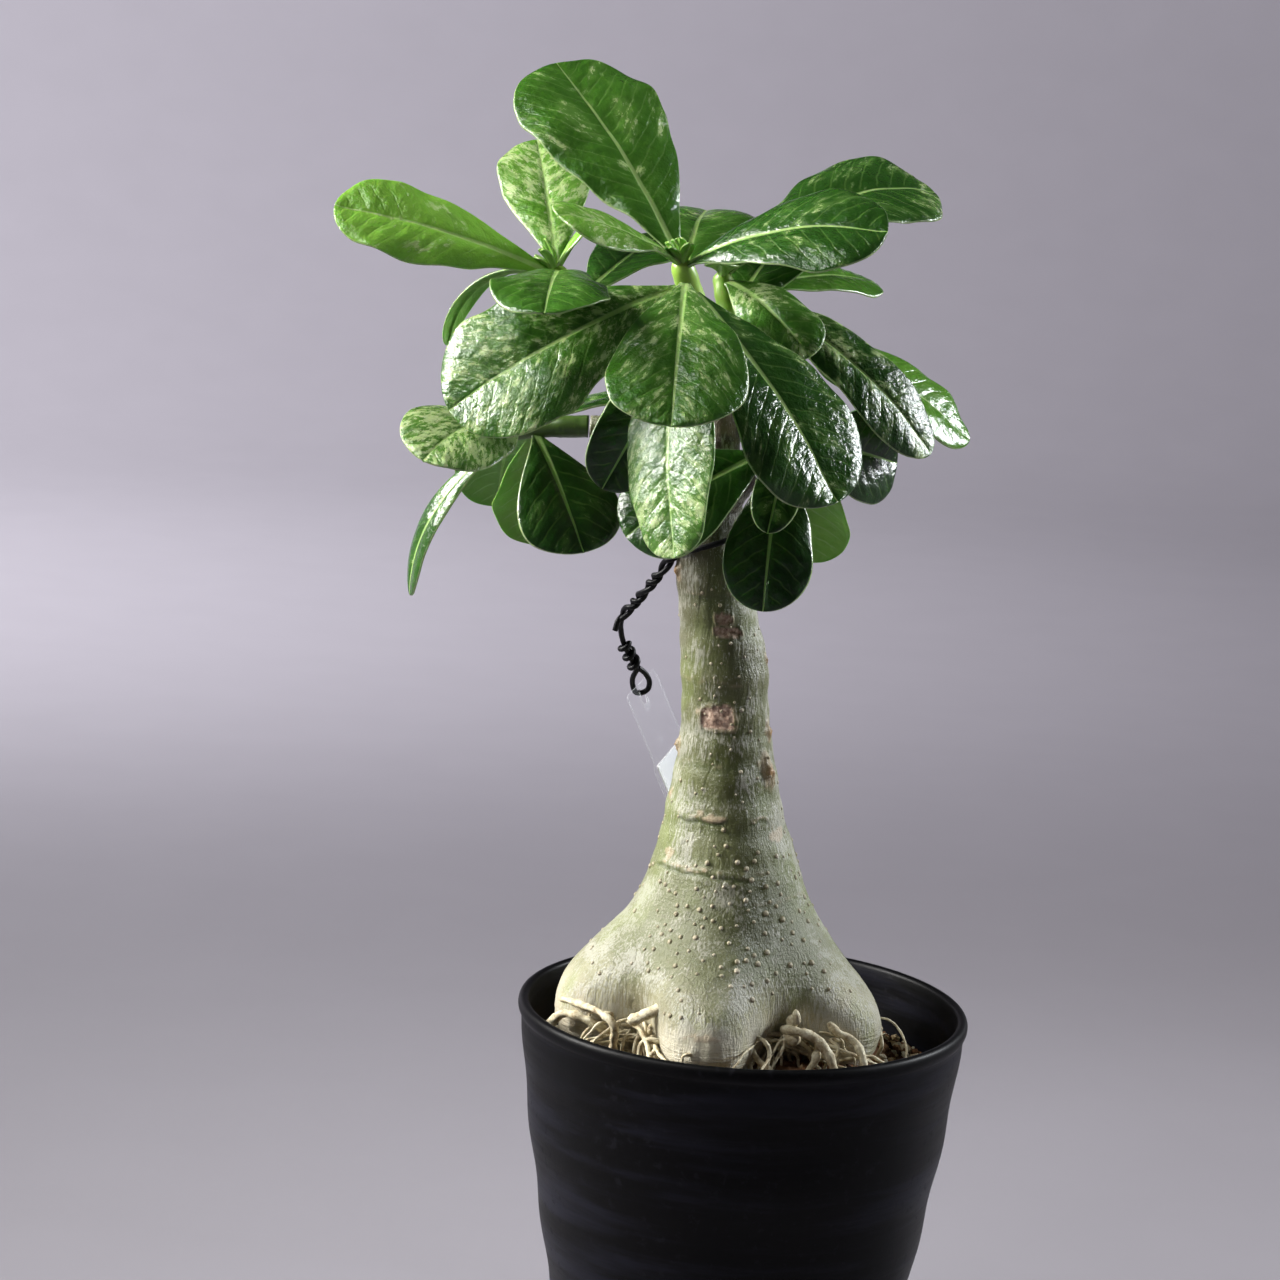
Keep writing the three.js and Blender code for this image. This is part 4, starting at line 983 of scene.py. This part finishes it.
def stone():
    """A twenty-sided stone: five points round below the middle, five above turned by 36 degrees,
    and two poles."""
    high = 1 / math.sqrt(5)
    low_ring, high_ring = (raised(2 * high * heading(circle(5) + turn), level)
                           for turn, level in ((0, -high), (math.pi / 5, high)))
    points = np.vstack([low_ring, high_ring, [[0, 0, -1], [0, 0, 1]]])
    k, after, base, top = np.arange(5), (np.arange(5) + 1) % 5, 10, 11
    faces = np.vstack([columns(*row) for row in (
        (after, k, base), (k, after, k + 5), (after, after + 5, k + 5), (k + 5, after + 5, top))])
    return points, faces


def scatter_grains():
    """Places by the golden angle, with seeded sizes, turns, squashes and tints, none inside the
    plant."""
    random = np.random.default_rng(GRAINS["seed"])
    count = GRAINS["count"]
    radius = between(np.sqrt(random.random(count)), GRAINS["radius"])
    size = between(random.random(count) ** 2.2, GRAINS["size"])
    flat = radius[:, None] * heading(np.radians(np.arange(count) * SPIRAL_STEP % 360))
    height = soil_height(radius) + 0.15 * size
    x, y = (flat - body_axis(height)).T
    way = np.degrees(np.arctan2(y, x)) % 360
    outside = np.hypot(x, y) > body_radius(way, height) + 0.5 * size
    free = outside & (radius + size < GRAINS["reach"])
    turn = random.normal(size=(count, 4))
    squash = 0.65 + 0.6 * random.random((count, 3))
    tint = random.random(count)
    return (row[free] for row in (raised(flat, height), size, turn, squash, tint))


def rotations(quaternions):
    """Rotation matrices from rows of four numbers, which are brought to length 1."""
    w, x, y, z = unit(quaternions).T
    return np.stack([
        columns(1 - 2 * (y * y + z * z), 2 * (x * y - z * w), 2 * (x * z + y * w)),
        columns(2 * (x * y + z * w), 1 - 2 * (x * x + z * z), 2 * (y * z - x * w)),
        columns(2 * (x * z - y * w), 2 * (y * z + x * w), 1 - 2 * (x * x + y * y))], -2)


def make_grains():
    """The loose grains as one mesh, with their tints and sizes."""
    places, size, turn, squash, tint = scatter_grains()
    axes = np.swapaxes(rotations(turn), 1, 2) * (squash * size[:, None])[..., None]
    return scattered("soil_grains", stone(), places, axes, soil_brown, "soil", "soil", False,
                     grain=columns(tint, 0, size))


soil = Skins()
# the bed's second value, 0.45, is its painted shade
soil.add(soil_rings(), grain=(0.32, 0.45, 0))
soil.piece("soil_bed", soil_brown, "soil", "soil")
print("grains:", len(make_grains().data.polygons) // len(stone()[1]))

# %% [markdown]
# ## Leaves
# A leaf is widest near its end and narrows to a neck. It bends along its midrib, folds up a little
# from it, and its margin is wavy. Its ring runs over the upper face from one margin to the other
# and back under it, so the blade is one closed skin with a real thickness, a groove over the midrib
# and a keel below. Between the side veins the blade is quilted, which breaks up its shine.

# %% Leaf shape
LEAF_BASE_HALF_WIDTH, LEAF_TIP_HALF_WIDTH = 1.2, 0.5
LEAF_RISE, LEAF_FALL = 1.3, 0.5  # the powers by which the width grows and ends
LEAF_FOLD, LEAF_DROOP = 0.3, 0.34  # up from the midrib and down at the margin, per half width
WAVE_HEIGHT, WAVE_TURNS, WAVE_OFFSET, WAVE_STEP = 0.07, 7, 1.7, 2.4
VEIN_PITCH, VEIN_LEAN, VEIN_BEND = 4.6, 0.6, 0.018
BLADE_THICKNESS, EDGE_ROUNDING = 0.6, 0.45
GROOVE_DEPTH, KEEL_HEIGHT, KEEL_LOSS = 0.22, 1.0, 0.7
RUFFLE_HEIGHT, SWELL_HEIGHT, QUILT_HEIGHT, MARGIN_UNEVEN = 1.3, 0.45, 0.10, 0.05
# shares of the half width, from midrib to margin, that carry points
ACROSS = np.array([0, .03, .065, .11, .18, .27, .37, .47, .57, .67, .76, .84, .9, .95, .985, 1])


def blade_share(t):
    """Half width from base to tip as a share of the widest: a power that rises times one that
    falls, both 1 where their product is greatest."""
    widest = LEAF_RISE / (LEAF_RISE + LEAF_FALL)
    return (t / widest) ** LEAF_RISE * ((1 - t) / (1 - widest)) ** LEAF_FALL


def side_veins(x, y):
    """Counts up by 1 from one side vein to the next. The veins leave the midrib forwards and bend
    towards the tip; those on the left stand between those on the right."""
    return (y - VEIN_LEAN * np.abs(x) - VEIN_BEND * x * x) / VEIN_PITCH + 0.5 * (x > 0)


def leaf_rings(base, tip, width, bend, roll, wave, waist=0.0, rows=72):
    """Rings of a leaf from base to tip, and its attributes: blade holds the place across, the place
    along and the distance from the margin, all in mm; face holds both places as shares and +1 over,
    -1 under."""
    chord = np.asarray(tip, float) - base
    length = np.linalg.norm(chord)
    ahead = chord / length
    upper = unit(np.array([0, 0, 1.0]) - ahead * ahead[2])
    turn_by = math.radians(roll)
    upper = upper * math.cos(turn_by) + np.cross(ahead, upper) * math.sin(turn_by)
    side = np.cross(ahead, upper)
    turn = math.radians(bend)
    arc = length / (2 * math.sin(turn / 2))

    t = 1 - (1 - np.linspace(0, 1, rows)) ** 1.7  # the rows crowd towards the tip
    slope = (turn * (t - 0.5))[:, None]
    centre = base + ahead * (length / 2 + arc * np.sin(slope)) \
        + upper * (arc * (np.cos(slope) - math.cos(turn / 2)))
    normal = upper * np.cos(slope) + ahead * np.sin(slope)

    top = np.concatenate([-ACROSS[::-1], ACROSS[1:]])
    u = np.concatenate([top, top[-2:0:-1]])[None]
    over = np.concatenate([np.ones(len(top)), -np.ones(len(top) - 2)])[None]
    t = t[:, None]
    least = LEAF_BASE_HALF_WIDTH + (LEAF_TIP_HALF_WIDTH - LEAF_BASE_HALF_WIDTH) * t
    blade = width / 2 * blade_share(t) * (1 - waist * bell(t - 0.84, 0.16))
    half = (least + blade + np.sqrt((least - blade) ** 2 + 0.4)) / 2
    margin = noise(columns(t * length / 7, 3 * np.sign(u), wave), 71)
    half = half * (1 + MARGIN_UNEVEN * margin * smoothstep(t, 0.25, 0.5))
    x, y = half * u, t * length * np.ones_like(u)
    edge = half * (1 - np.abs(u))

    fold = np.sqrt(u * u + 0.004) - 0.063
    phase = WAVE_TURNS * t + wave + np.where(u > 0, WAVE_OFFSET, 0)
    lift = half * (LEAF_FOLD * fold + (WAVE_HEIGHT * np.sin(phase) - LEAF_DROOP) * u * u)
    wide = smoothstep(half, 3, 9)  # ruffles, swells and quilting only show where the blade is wide
    ruffle = noise(columns(y / 8, np.sign(x) * 5, wave), 72) * np.abs(u) ** 3
    quilt = -np.cos(2 * np.pi * side_veins(x, y))
    quilt = quilt * smoothstep(np.abs(x), 0.6, 3.5) * smoothstep(edge, 0.3, 3)
    lift = lift + wide * (RUFFLE_HEIGHT * ruffle + QUILT_HEIGHT * quilt
                          + SWELL_HEIGHT * rough(columns(x / 11, y / 13, wave), 73, 2))
    ribbed = bell(x, (1.15 - 0.85 * t) * 0.9)
    rounding = 1 - (1 - edge / EDGE_ROUNDING).clip(0, 1) ** 2
    thick = BLADE_THICKNESS / 2 * np.sqrt(np.clip(rounding, 0, 1))
    groove = GROOVE_DEPTH * ribbed * wide
    keel = (KEEL_HEIGHT - KEEL_LOSS * t) * ribbed * (edge > 0)
    lift += np.where(over > 0, thick - groove, -thick - keel)
    rings = centre[:, None] + side * x[..., None] + normal[:, None] * lift[..., None]
    return rings, {"blade": columns(x, y, edge), "face": columns(t, u, over)}

# %% [markdown]
# ## Leaf finish
# The blade is green with cream flecks that follow the side veins, pale along the midrib and in a
# hair line at the margin, and glossy. How light and how flecked a leaf is differs from leaf to
# leaf, so both are attributes of its points, and one finish serves all shoots. A leaf's lightness,
# its tone, is partly its own green and partly painted light and shade: leaves in the shade under
# the crown are given dark tones, and lit ones light tones.

# %% Leaf finish
leaf_green = Finish("variegated_leaf", specular_ior_level=0.6, subsurface_weight=0.35,
                    subsurface_radius=(0.5, 1.0, 0.2), subsurface_scale=0.0015)
x, y, edge = leaf_green.attribute("blade")
t, _, over = leaf_green.attribute("face")
tone, flecked, seed = leaf_green.attribute("look")
grain, vector, mix = leaf_green.grain, leaf_green.vector, leaf_green.mix
away = x.maths("ABSOLUTE")
on_leaf = over.maths("ABSOLUTE")
bent = grain(vector(x * 0.16, y * 0.16, seed), 1.0, 2) - 0.5
vein = (y - away * VEIN_LEAN - away * away * VEIN_BEND) / VEIN_PITCH \
    + x.maths("GREATER_THAN", 0) * 0.5 + bent * 0.55
beside = (vein.maths("FRACT") - 0.5).maths("ABSOLUTE") * 2
vein_line = beside.step(0.80, 0.97) * away.step(0.4, 2.2) * edge.step(0.8, 4.0)
rib = 1 - (away / (1.20 - t)).step(0.45, 1.0)

broad = grain(vector(vein * 0.55, away * 0.10, seed), 1.0, 3, 0.6)
fine = grain(vector(vein * 1.9, away * 0.36, seed), 1.0, 5, 0.75)
cluster = (broad + flecked * 0.24).step(0.58, 0.74)
flecks = cluster * (fine + flecked * 0.12).step(0.575, 0.66)
# the tone is partly the leaf's own green, partly painted light and shade
shade = tone + (broad - 0.5) * 0.4 + (fine - 0.5) * 0.22
green = leaf_green.ramp(shade, [
    (0.00, (0.008, 0.030, 0.005)), (0.30, (0.022, 0.078, 0.009)), (0.55, (0.052, 0.150, 0.015)),
    (0.80, (0.105, 0.26, 0.026)), (1.00, (0.190, 0.40, 0.050))])
upper = green
for share, colour in (
        (cluster * 0.22, (0.20, 0.34, 0.09)),
        (flecks * 0.75, (0.46, 0.56, 0.27)),
        (vein_line * 0.16, (0.24, 0.40, 0.10)),
        ((1 - edge.step(0.08, 0.36)) * 0.7, (0.42, 0.52, 0.26)),
        (rib * 0.85, (0.34, 0.50, 0.17))):
    upper = mix(share, upper, colour)
under = mix(vein_line * 0.4, mix(0.55, upper, (0.16, 0.34, 0.035)), (0.30, 0.44, 0.16))
above = over.step(-0.2, 0.2)
stalk = leaf_green.ramp(grain((1, 1, 0.3), 0.5, 3) * 0.6 + tone * 0.4, [
    (0.2, (0.06, 0.11, 0.02)), (0.45, (0.17, 0.32, 0.04)), (0.75, (0.34, 0.54, 0.08))])
leaf_green.set(base_color=mix(on_leaf.step(0.2, 0.6), stalk, mix(above, under, upper)),
               roughness=0.14 + fine * 0.10 + (1 - above) * 0.36)
wrinkle = grain(vector(vein * 1.9, away * 0.42, seed), 1.0, 4, 0.6)
swells, dimples, crinkles = (grain(vector(x, y, seed), *how) for how in (
    (0.13, 2, 0.5), (0.40, 3, 0.5), (1.2, 4, 0.6)))
leaf_green.bump((swells * 0.9 + wrinkle * 0.24 + dimples * (0.36 + flecked * 0.16)
                 + crinkles * (0.08 + flecked * 0.18) - vein_line * 0.05) * on_leaf)

# %% Leaves of each shoot
# where a leaf leaves its shoot, its tip, width, then bend and roll in degrees, tone and flecks
# Each leaf's tone is partly its own green and partly painted light and shade: leaves in the shade
# under the crown are darker, lit ones lighter.
LEAVES = {
    "front": [
        [0.97, -64, 28, 364, 40, 22, -15, 0.5, 0.35], [0.97, 24, -32, 328, 30, 50, 38, 0.27, 0.32],
        [0.93, -26, -50, 279, 36, 30, 0, 0.44, 0.55], [0.9, -83, -26, 277, 37, 42, -52, 0.44, 0.72],
        [0.9, 16, -30, 260, 35, 28, 26, 0.22, 0.35], [0.99, -57, -40, 328, 22, 25, -24, 0.85, 0.75],
        [0.95, -22, 40, 327, 30, 40, 0, 0.5, 0.4], [0.86, -23.5, -46, 246, 30, 40, 34, 0.5, 0.8],
        [0.78, -44, -15, 258, 20, 20, -75, 0.1, 0.1]],
    "right": [
        [0.95, 7, -8, 294, 20, 50, 30, 0.5, 0.8], [0.72, 1, 46, 322, 30, 30, 0, 0.35, 0.3],
        [0.9, 40, 8, 269, 20, 60, 40, 0.25, 0.7], [0.97, 38, 46, 335, 32, 74, 30, 0.3, 0.5],
        [0.86, 24, 60, 309, 20, 30, 20, 0.6, 0.2], [0.8, 22, 42, 284, 22, 30, 40, 0.6, 0.2],
        [0.76, 51, 28, 271, 24, 40, 30, 0.7, 0.2], [0.98, -17, -1, 316, 9, 20, 0, 0.5, 0.2]],
    "left": [
        [0.95, -118, 4, 325, 23, 25, -50, 1.0, 0.35], [0.97, -70, 52, 343, 25, 20, -8, 0.78, 0.95],
        [0.99, -52, 14, 325, 8, 10, 0, 1.0, 0], [0.95, -59, -42, 304, 30, 42, 0, 0.45, 0.3],
        [0.84, -33, 44, 320, 26, 25, 0, 0.3, 0.2], [0.88, -90, 32, 288, 10, 120, 0, 0.7, 0.5]],
    "low_left": [
        [0.96, -88, -35, 265, 28, 66, -18, 0.5, 0.95], [0.93, -95, 12, 223, 10, 70, -46, 0.36, 0.3],
        [0.9, -48, -14, 241, 28, 20, 18, 0.1, 0.1], [0.9, -64, 28, 236, 22, 25, 0, 1.0, 0.2],
        [0.98, -76, 48, 243, 25, 50, 0, 0.5, 0.2]],
    "low_right": [
        [0.86, -1, -23, 230, 23, 30, 0, 0.05, 0.05], [0.95, -1, -28, 251, 12, 60, -10, 0.05, 0.1],
        [0.97, 11, 32, 235, 24, 25, 0, 0.95, 0.1], [0.95, 32, 26, 264, 26, 30, 80, 0.1, 0.1],
        [0.76, -37, -17, 246, 28, 45, -47, 0.25, 0.2]],
}
WAISTS = {("front", 7): 0.22}
BACK_LEAVES = {"count": 8, "seed": 5, "first": 38, "at": [0.7, 0.98], "climb": [-31, 40],
               "length": [52, 30], "width": [25, 17], "bend": [40, 15], "tone": [0.3, 0.8],
               "flecks": [0.25, 0.65], "fleck_seed": 3,
               "scatter": {"climb": 12, "length": 0.14, "roll": 16}}
GOLDEN_ANGLE = 137.5


def draws(seed, count):
    """The CAD's own row of draws from 0 to 1: state * 1664525 + 1013904223, modulo 2^32."""
    state, row = seed, []
    for _ in range(count):
        state = (state * 1664525 + 1013904223) % 2 ** 32
        row.append(state / 2 ** 32)
    return np.array(row)


def back_leaves():
    """The back shoot's rows by the spiral rule: a golden angle from leaf to leaf, the youngest at
    the tip and steepest."""
    count, scatter = BACK_LEAVES["count"], BACK_LEAVES["scatter"]
    climb_draw, length_draw, roll_draw = (
        draws(BACK_LEAVES["seed"], 3 * count).reshape(-1, 3).T - 0.5)
    k = np.arange(count)
    t = k / (count - 1)
    at, climb, length, width, bend, tone_ = (between(t, BACK_LEAVES[name]) for name in (
        "at", "climb", "length", "width", "bend", "tone"))
    flecks_ = between(draws(BACK_LEAVES["fleck_seed"], count), BACK_LEAVES["flecks"])
    azimuth = np.radians(BACK_LEAVES["first"] + k * GOLDEN_ANGLE)
    climb = np.radians(climb + scatter["climb"] * climb_draw)
    length = length * (1 + scatter["length"] * length_draw)
    reach = raised(heading(azimuth) * np.cos(climb)[:, None], np.sin(climb)) * length[:, None]
    return np.column_stack([
        at, BRANCH_CURVES["back"][0](at) + reach, width, bend, scatter["roll"] * roll_draw,
        tone_, flecks_])

# %% Growth tips and shoots
LEAFLETS = {"count": 5, "length": [6, 10], "width": [2.6, 4.2], "lean": [0.25, 0.75],
            "bend": [10, 40], "at": 0.985, "tone": 1.3, "flecks": 0.1}
STALK_TONES = {"front": 1.0, "right": 0.7, "left": 0.8, "low_left": -0.4, "low_right": -0.1,
               "back": 0.4}
SHOOT_CLEAR = 0.45  # the gap between a shoot and its wood


def add_leaflets(skins, name, seed):
    """A few folded young leaves that stand up round the shoot's end."""
    at, _ = BRANCH_CURVES[name]
    base, ahead = at(LEAFLETS["at"]), unit(at(1) - at(0.97))
    draw = draws(seed + 17, 4 * LEAFLETS["count"]).reshape(-1, 4)
    for k, (long_, wide, lean, bend) in enumerate(draw):
        out = raised(heading(np.radians(k * GOLDEN_ANGLE + 50 * seed)), 0)
        way = unit(ahead + out * between(lean, LEAFLETS["lean"]))
        rings, values = leaf_rings(base, base + between(long_, LEAFLETS["length"]) * way,
                                   between(wide, LEAFLETS["width"]),
                                   between(bend, LEAFLETS["bend"]), 0, k, rows=28)
        skins.add(rings, look=(LEAFLETS["tone"], LEAFLETS["flecks"], seed * 3.1 + k), **values)


def make_shoot(name, seed):
    """The green end of a branch, a little off its wood, with its leaves in one mesh."""
    _, thick, thin, wood, _ = BRANCHES[name]
    at, length = BRANCH_CURVES[name]
    shoot = Skins()
    share = np.linspace(0, 1, 40)
    start = wood + SHOOT_CLEAR / length
    path = at(start + (1 - start) * share)
    radius = thick + (thin - thick) * share
    radius = radius * np.sqrt(np.clip(1 - ((share - 0.9) / 0.1).clip(0, 1) ** 2 * 0.75, 0.05, 1))
    rings = tube(path, radius, 28, SIDEWAYS)
    rings += 0.2 * rough(rings * 0.3, 81)[..., None] * unit(rings - path[:, None])
    shoot.add(rings, look=(STALK_TONES[name], 0, seed), blade=(0, 0, 9), face=(0, 0, 0))
    rows = back_leaves() if name == "back" else LEAVES[name]
    for k, (place, x, y, z, width, bend, roll, tone_, flecks_) in enumerate(rows):
        rings, values = leaf_rings(at(place), (x, y, z), width, bend, roll, WAVE_STEP * k,
                                   WAISTS.get((name, k), 0))
        shoot.add(rings, look=(tone_, flecks_, seed * 7.3 + k * 1.9), **values)
    add_leaflets(shoot, name, seed)
    return shoot.piece(f"shoot_{name}", leaf_green, f"leaf_{name}", f"leafy_shoot_{name}")


for number, name in enumerate(BRANCHES, 1):
    make_shoot(name, number)

# %% [markdown]
# ## Wire
# A length of black coated wire is laid round the neck of the trunk and its two ends are twisted
# together, as far as a kink where one is cut off. The other runs on bare, bends round into an eye,
# and its end is wrapped round it. Each twisted strand is a helix round the tail's curve: the curve,
# plus a small circle that turns once every few millimetres.

# %% Wire
WIRE_RADIUS = 0.75
WIRE_RING = {"centre": [-15.3, 1.5, 244.2], "radius": 10.9, "tilt": -20}
WIRE_TAIL = [[-24.8, -3.1, 240.6], [-29.8, 2.5, 232.6], [-34.2, 9, 225.9], [-38.5, 15, 219.5],
             [-38.6, 17.5, 215.3], [-37.7, 19.5, 211.7], [-35.8, 22, 207.6], [-34.1, 24.2, 204]]
WIRE_TWIST = {"start": 0, "end": 0.61, "pitch": 9, "radius": 0.82}
WIRE_CUT_END = [[-39.4, 13.9, 218.9], [-40.1, 13.6, 216.2]]  # of the second strand
WIRE_WRAP = {"start": 0.8, "end": 0.98, "pitch": 3.3, "radius": 1.45}
WIRE_EYE = [[-34.1, 24.2, 204], [-35.1, 26, 201.6], [-35.2, 27.5, 199.4], [-34.2, 28.3, 197],
            [-32.3, 28.2, 197.1], [-30.9, 27.9, 198.3], [-30.7, 27.2, 200.6], [-32, 25.8, 203],
            [-33.8, 24.2, 204.6]]
WIRE_SIDES = 16


def helix(start, end, pitch, radius, phase=0.0, steps=90):
    """A part of the tail's curve plus a circle across it that turns once per pitch. Its turning
    runs a little faster and slower along the way, as a twist made by hand does."""
    tail, length = curve(WIRE_TAIL)
    share = np.linspace(start, end, steps)
    path = tail(share)
    first, second = two_across(path, unit(np.array([1.0, 0.1, 0])))
    turns = (share - start) * length / pitch
    turn = (phase + 2 * np.pi * (turns + 0.10 * np.sin(turns * 5)))[:, None]
    return path + radius * (first * np.cos(turn) + second * np.sin(turn))


def strand(points, reference, steps=170):
    """A round bar along a smooth curve through the points."""
    at, _ = curve(points, 8)
    return tube(at(np.linspace(0, 1, steps)), WIRE_RADIUS, WIRE_SIDES, unit(np.array(reference)))


def neck_ring(steps=144):
    """The ring as a bar whose path closes on itself a little past its start."""
    turn = np.linspace(0, 2 * np.pi * 1.001, steps)
    tilt = math.radians(WIRE_RING["tilt"])
    lean = np.array([[math.cos(tilt), 0, math.sin(tilt)], [0, 1, 0],
                     [-math.sin(tilt), 0, math.cos(tilt)]])
    flat = raised(WIRE_RING["radius"] * heading(turn), 0)
    return tube(flat @ lean.T + WIRE_RING["centre"], WIRE_RADIUS, WIRE_SIDES,
                lean @ np.array([0, 0, 1.0]))

# %% Wire finish and piece
wire_black = Finish("black_coated_wire", specular_ior_level=0.17)
coating = wire_black.grain(wire_black.place, 1.5, 4)
wire_black.set(base_color=wire_black.mix(coating, (0.002, 0.002, 0.003), (0.006, 0.006, 0.008)),
               roughness=0.34 + coating * 0.2)
wire_black.bump(coating * 0.05)

rest_of_tail = curve(WIRE_TAIL)[0](np.linspace(0.68, 1, 12))
wire = Skins()
wire.add(neck_ring())
for points, reference, steps in (
        (np.vstack([helix(**WIRE_TWIST), rest_of_tail]), [0.9, 0.4, 0.1], 170),
        (np.vstack([helix(**WIRE_TWIST, phase=np.pi), WIRE_CUT_END]), [0.9, 0.4, 0.1], 170),
        (helix(**WIRE_WRAP), [0.35, 0.45, -0.82], 170),
        (WIRE_EYE, [0.35, 0.92, 0.2], 90)):
    wire.add(strand(points, reference, steps))
wire.piece("twisted_wire", wire_black, "black_wire", "tag_wire")

# %% [markdown]
# ## Sleeve and card
# The sleeve is two clear films, welded along their edges, under a punched tab of one film. A film
# is thin, but it is still a closed skin here: a sheet over and a sheet under. It bows a little, and
# is nearly invisible except at its cut edges and welds, which are painted white and less clear:
# partly the welds' own frosting, partly a painted highlight where the cut edges catch the light.
# The card inside is plain.

# %% Tag frame and sheets
SLEEVE = {"width": 30, "height": 38, "depth": 2.2, "film": 0.5, "tab": 20.5, "seam": 1}
SLEEVE_HOLE = {"radius": 2.2, "across": 12.6, "down": 3.6}
SLEEVE_CORNER = np.array([-36.2, 16, 198])
SLEEVE_UP = [0.43, 0, -0.9]  # the sleeve hangs this way
SLEEVE_ACROSS_X = 0.2
tag_up = -unit(np.array(SLEEVE_UP))
tag_across = np.array([SLEEVE_ACROSS_X, 0, -SLEEVE_ACROSS_X * tag_up[0] / tag_up[2]])
tag_across[1] = math.sqrt(1 - tag_across @ tag_across)
TAG_AXES = np.stack([tag_across, np.cross(tag_up, tag_across), tag_up])


def rounded_outline(width, height, corner, turn):
    """A rectangle with rounded corners, from its middle, anticlockwise: at an angle a the outline
    is where a ray meets |x/w|^n + |z/h|^n = 1 with a high power n."""
    power = 2 + max(width, height) / corner
    ray = heading(turn)
    reach = (np.abs(ray / (width / 2, height / 2)) ** power).sum(-1) ** (-1 / power)
    return ray * reach[:, None]


def plate(middle, width, height, thickness, corner, bow, hole=None, rows=14, steps=176):
    """A thin plate as rings, from its middle or its hole over the front, round the edge and back.
    bow(x, z) moves the plate through. Returns the rings and how far each point is from an edge."""
    turn = circle(steps)
    outline = rounded_outline(width, height, corner, turn)
    centre, inner = (np.zeros(2), 0.02) if hole is None else (hole[:2], hole[2])
    share = (1 - (1 - np.linspace(0, 1, rows)) ** 1.6)[:, None, None]
    flat = (centre + inner * heading(turn)) * (1 - share) + outline * share
    flat = np.vstack([flat, flat[::-1]])
    rim = np.concatenate([np.ones(rows), -np.ones(rows)]) * thickness / 2
    rim[[rows - 1, rows]] *= 0.6
    across, up = np.moveaxis(flat, -1, 0)
    gap = np.linalg.norm(flat - outline, axis=-1)
    if hole is not None:
        gap = np.minimum(gap, np.abs(np.hypot(across - centre[0], up - centre[1]) - inner))
    # from the tag's own axes, across, through and up from its top corner, to the frame
    places = columns(across + middle[0], rim[:, None] + bow(across, up), up + middle[1])
    return places @ TAG_AXES + SLEEVE_CORNER, gap

# %% Film and card finishes
clear_film = Finish("clear_film", base_color=(0.86, 0.89, 0.92, 1), specular_ior_level=0.6)
edge_near = clear_film.attribute("film")[0]
crinkle = clear_film.grain(clear_film.place, 0.22, 3)
# The film is less clear near its edges, so its pale colour shows there: partly the welds' own
# frosting, partly a painted highlight on the cut edges.
clear_film.set(alpha=0.025 + edge_near * 0.16 + crinkle.step(0.55, 0.75) * 0.03,
               roughness=0.12 + crinkle * 0.12)
clear_film.bump(crinkle * 0.3)
white_card = Finish("white_card", specular_ior_level=0.4)
fibre = white_card.grain(white_card.place, 1.6, 5, 0.6)
white_card.set(base_color=white_card.mix(fibre, (0.52, 0.53, 0.55), (0.60, 0.60, 0.61)),
               roughness=0.55 + fibre * 0.15)
white_card.bump(fibre * 0.03)

# %% Sleeve and card pieces
FILM_THICKNESS, FILM_CORNERS, EDGE_GLOW = 0.34, (1.5, 1.2), 0.45
CARD_THICKNESS, CARD_CORNER, CARD_CLEAR, CARD_BOW = 0.4, 0.8, 0.3, 0.12
width, tab, pocket = SLEEVE["width"], SLEEVE["tab"], SLEEVE["height"] - SLEEVE["tab"]
film_depth = SLEEVE["depth"] / 2 - SLEEVE["film"] / 2
middle = np.array([width / 2, -SLEEVE["height"] / 2])
hole = (*([SLEEVE_HOLE["across"], -SLEEVE_HOLE["down"]] - middle), SLEEVE_HOLE["radius"])


def back_bow(x, z):
    """The back film leaves the tab's plane below the tab and stands behind the card."""
    return film_depth * smoothstep(z + middle[1], -tab + 1.5, -tab - 2.5)


back = plate(middle, width, SLEEVE["height"], FILM_THICKNESS, FILM_CORNERS[0], back_bow, hole,
             rows=22)
front_film = plate((width / 2, -tab - pocket / 2), width, pocket, FILM_THICKNESS,
                   FILM_CORNERS[1], lambda x, z: 0 * x - film_depth)
sleeve = Skins()
for (rings, gap), closed in ((back, True), (front_film, False)):
    sleeve.add(rings, closed, film=columns(bell(gap, EDGE_GLOW), 0, 0))
sleeve.piece("tag_sleeve_film", clear_film, "clear_film", "clear_tag_sleeve")

card_size = np.array([width, pocket]) - SLEEVE["seam"] - 2 * CARD_CLEAR
card_middle = np.array([SLEEVE["seam"], -tab]) + (CARD_CLEAR, -CARD_CLEAR) + card_size / (2, -2)
card = Skins()
card.add(plate(card_middle, *card_size, CARD_THICKNESS, CARD_CORNER,
               lambda x, z: CARD_BOW * (x / 14) ** 2)[0])
card.piece("plain_card", white_card, "white_card", "blank_tag_card")
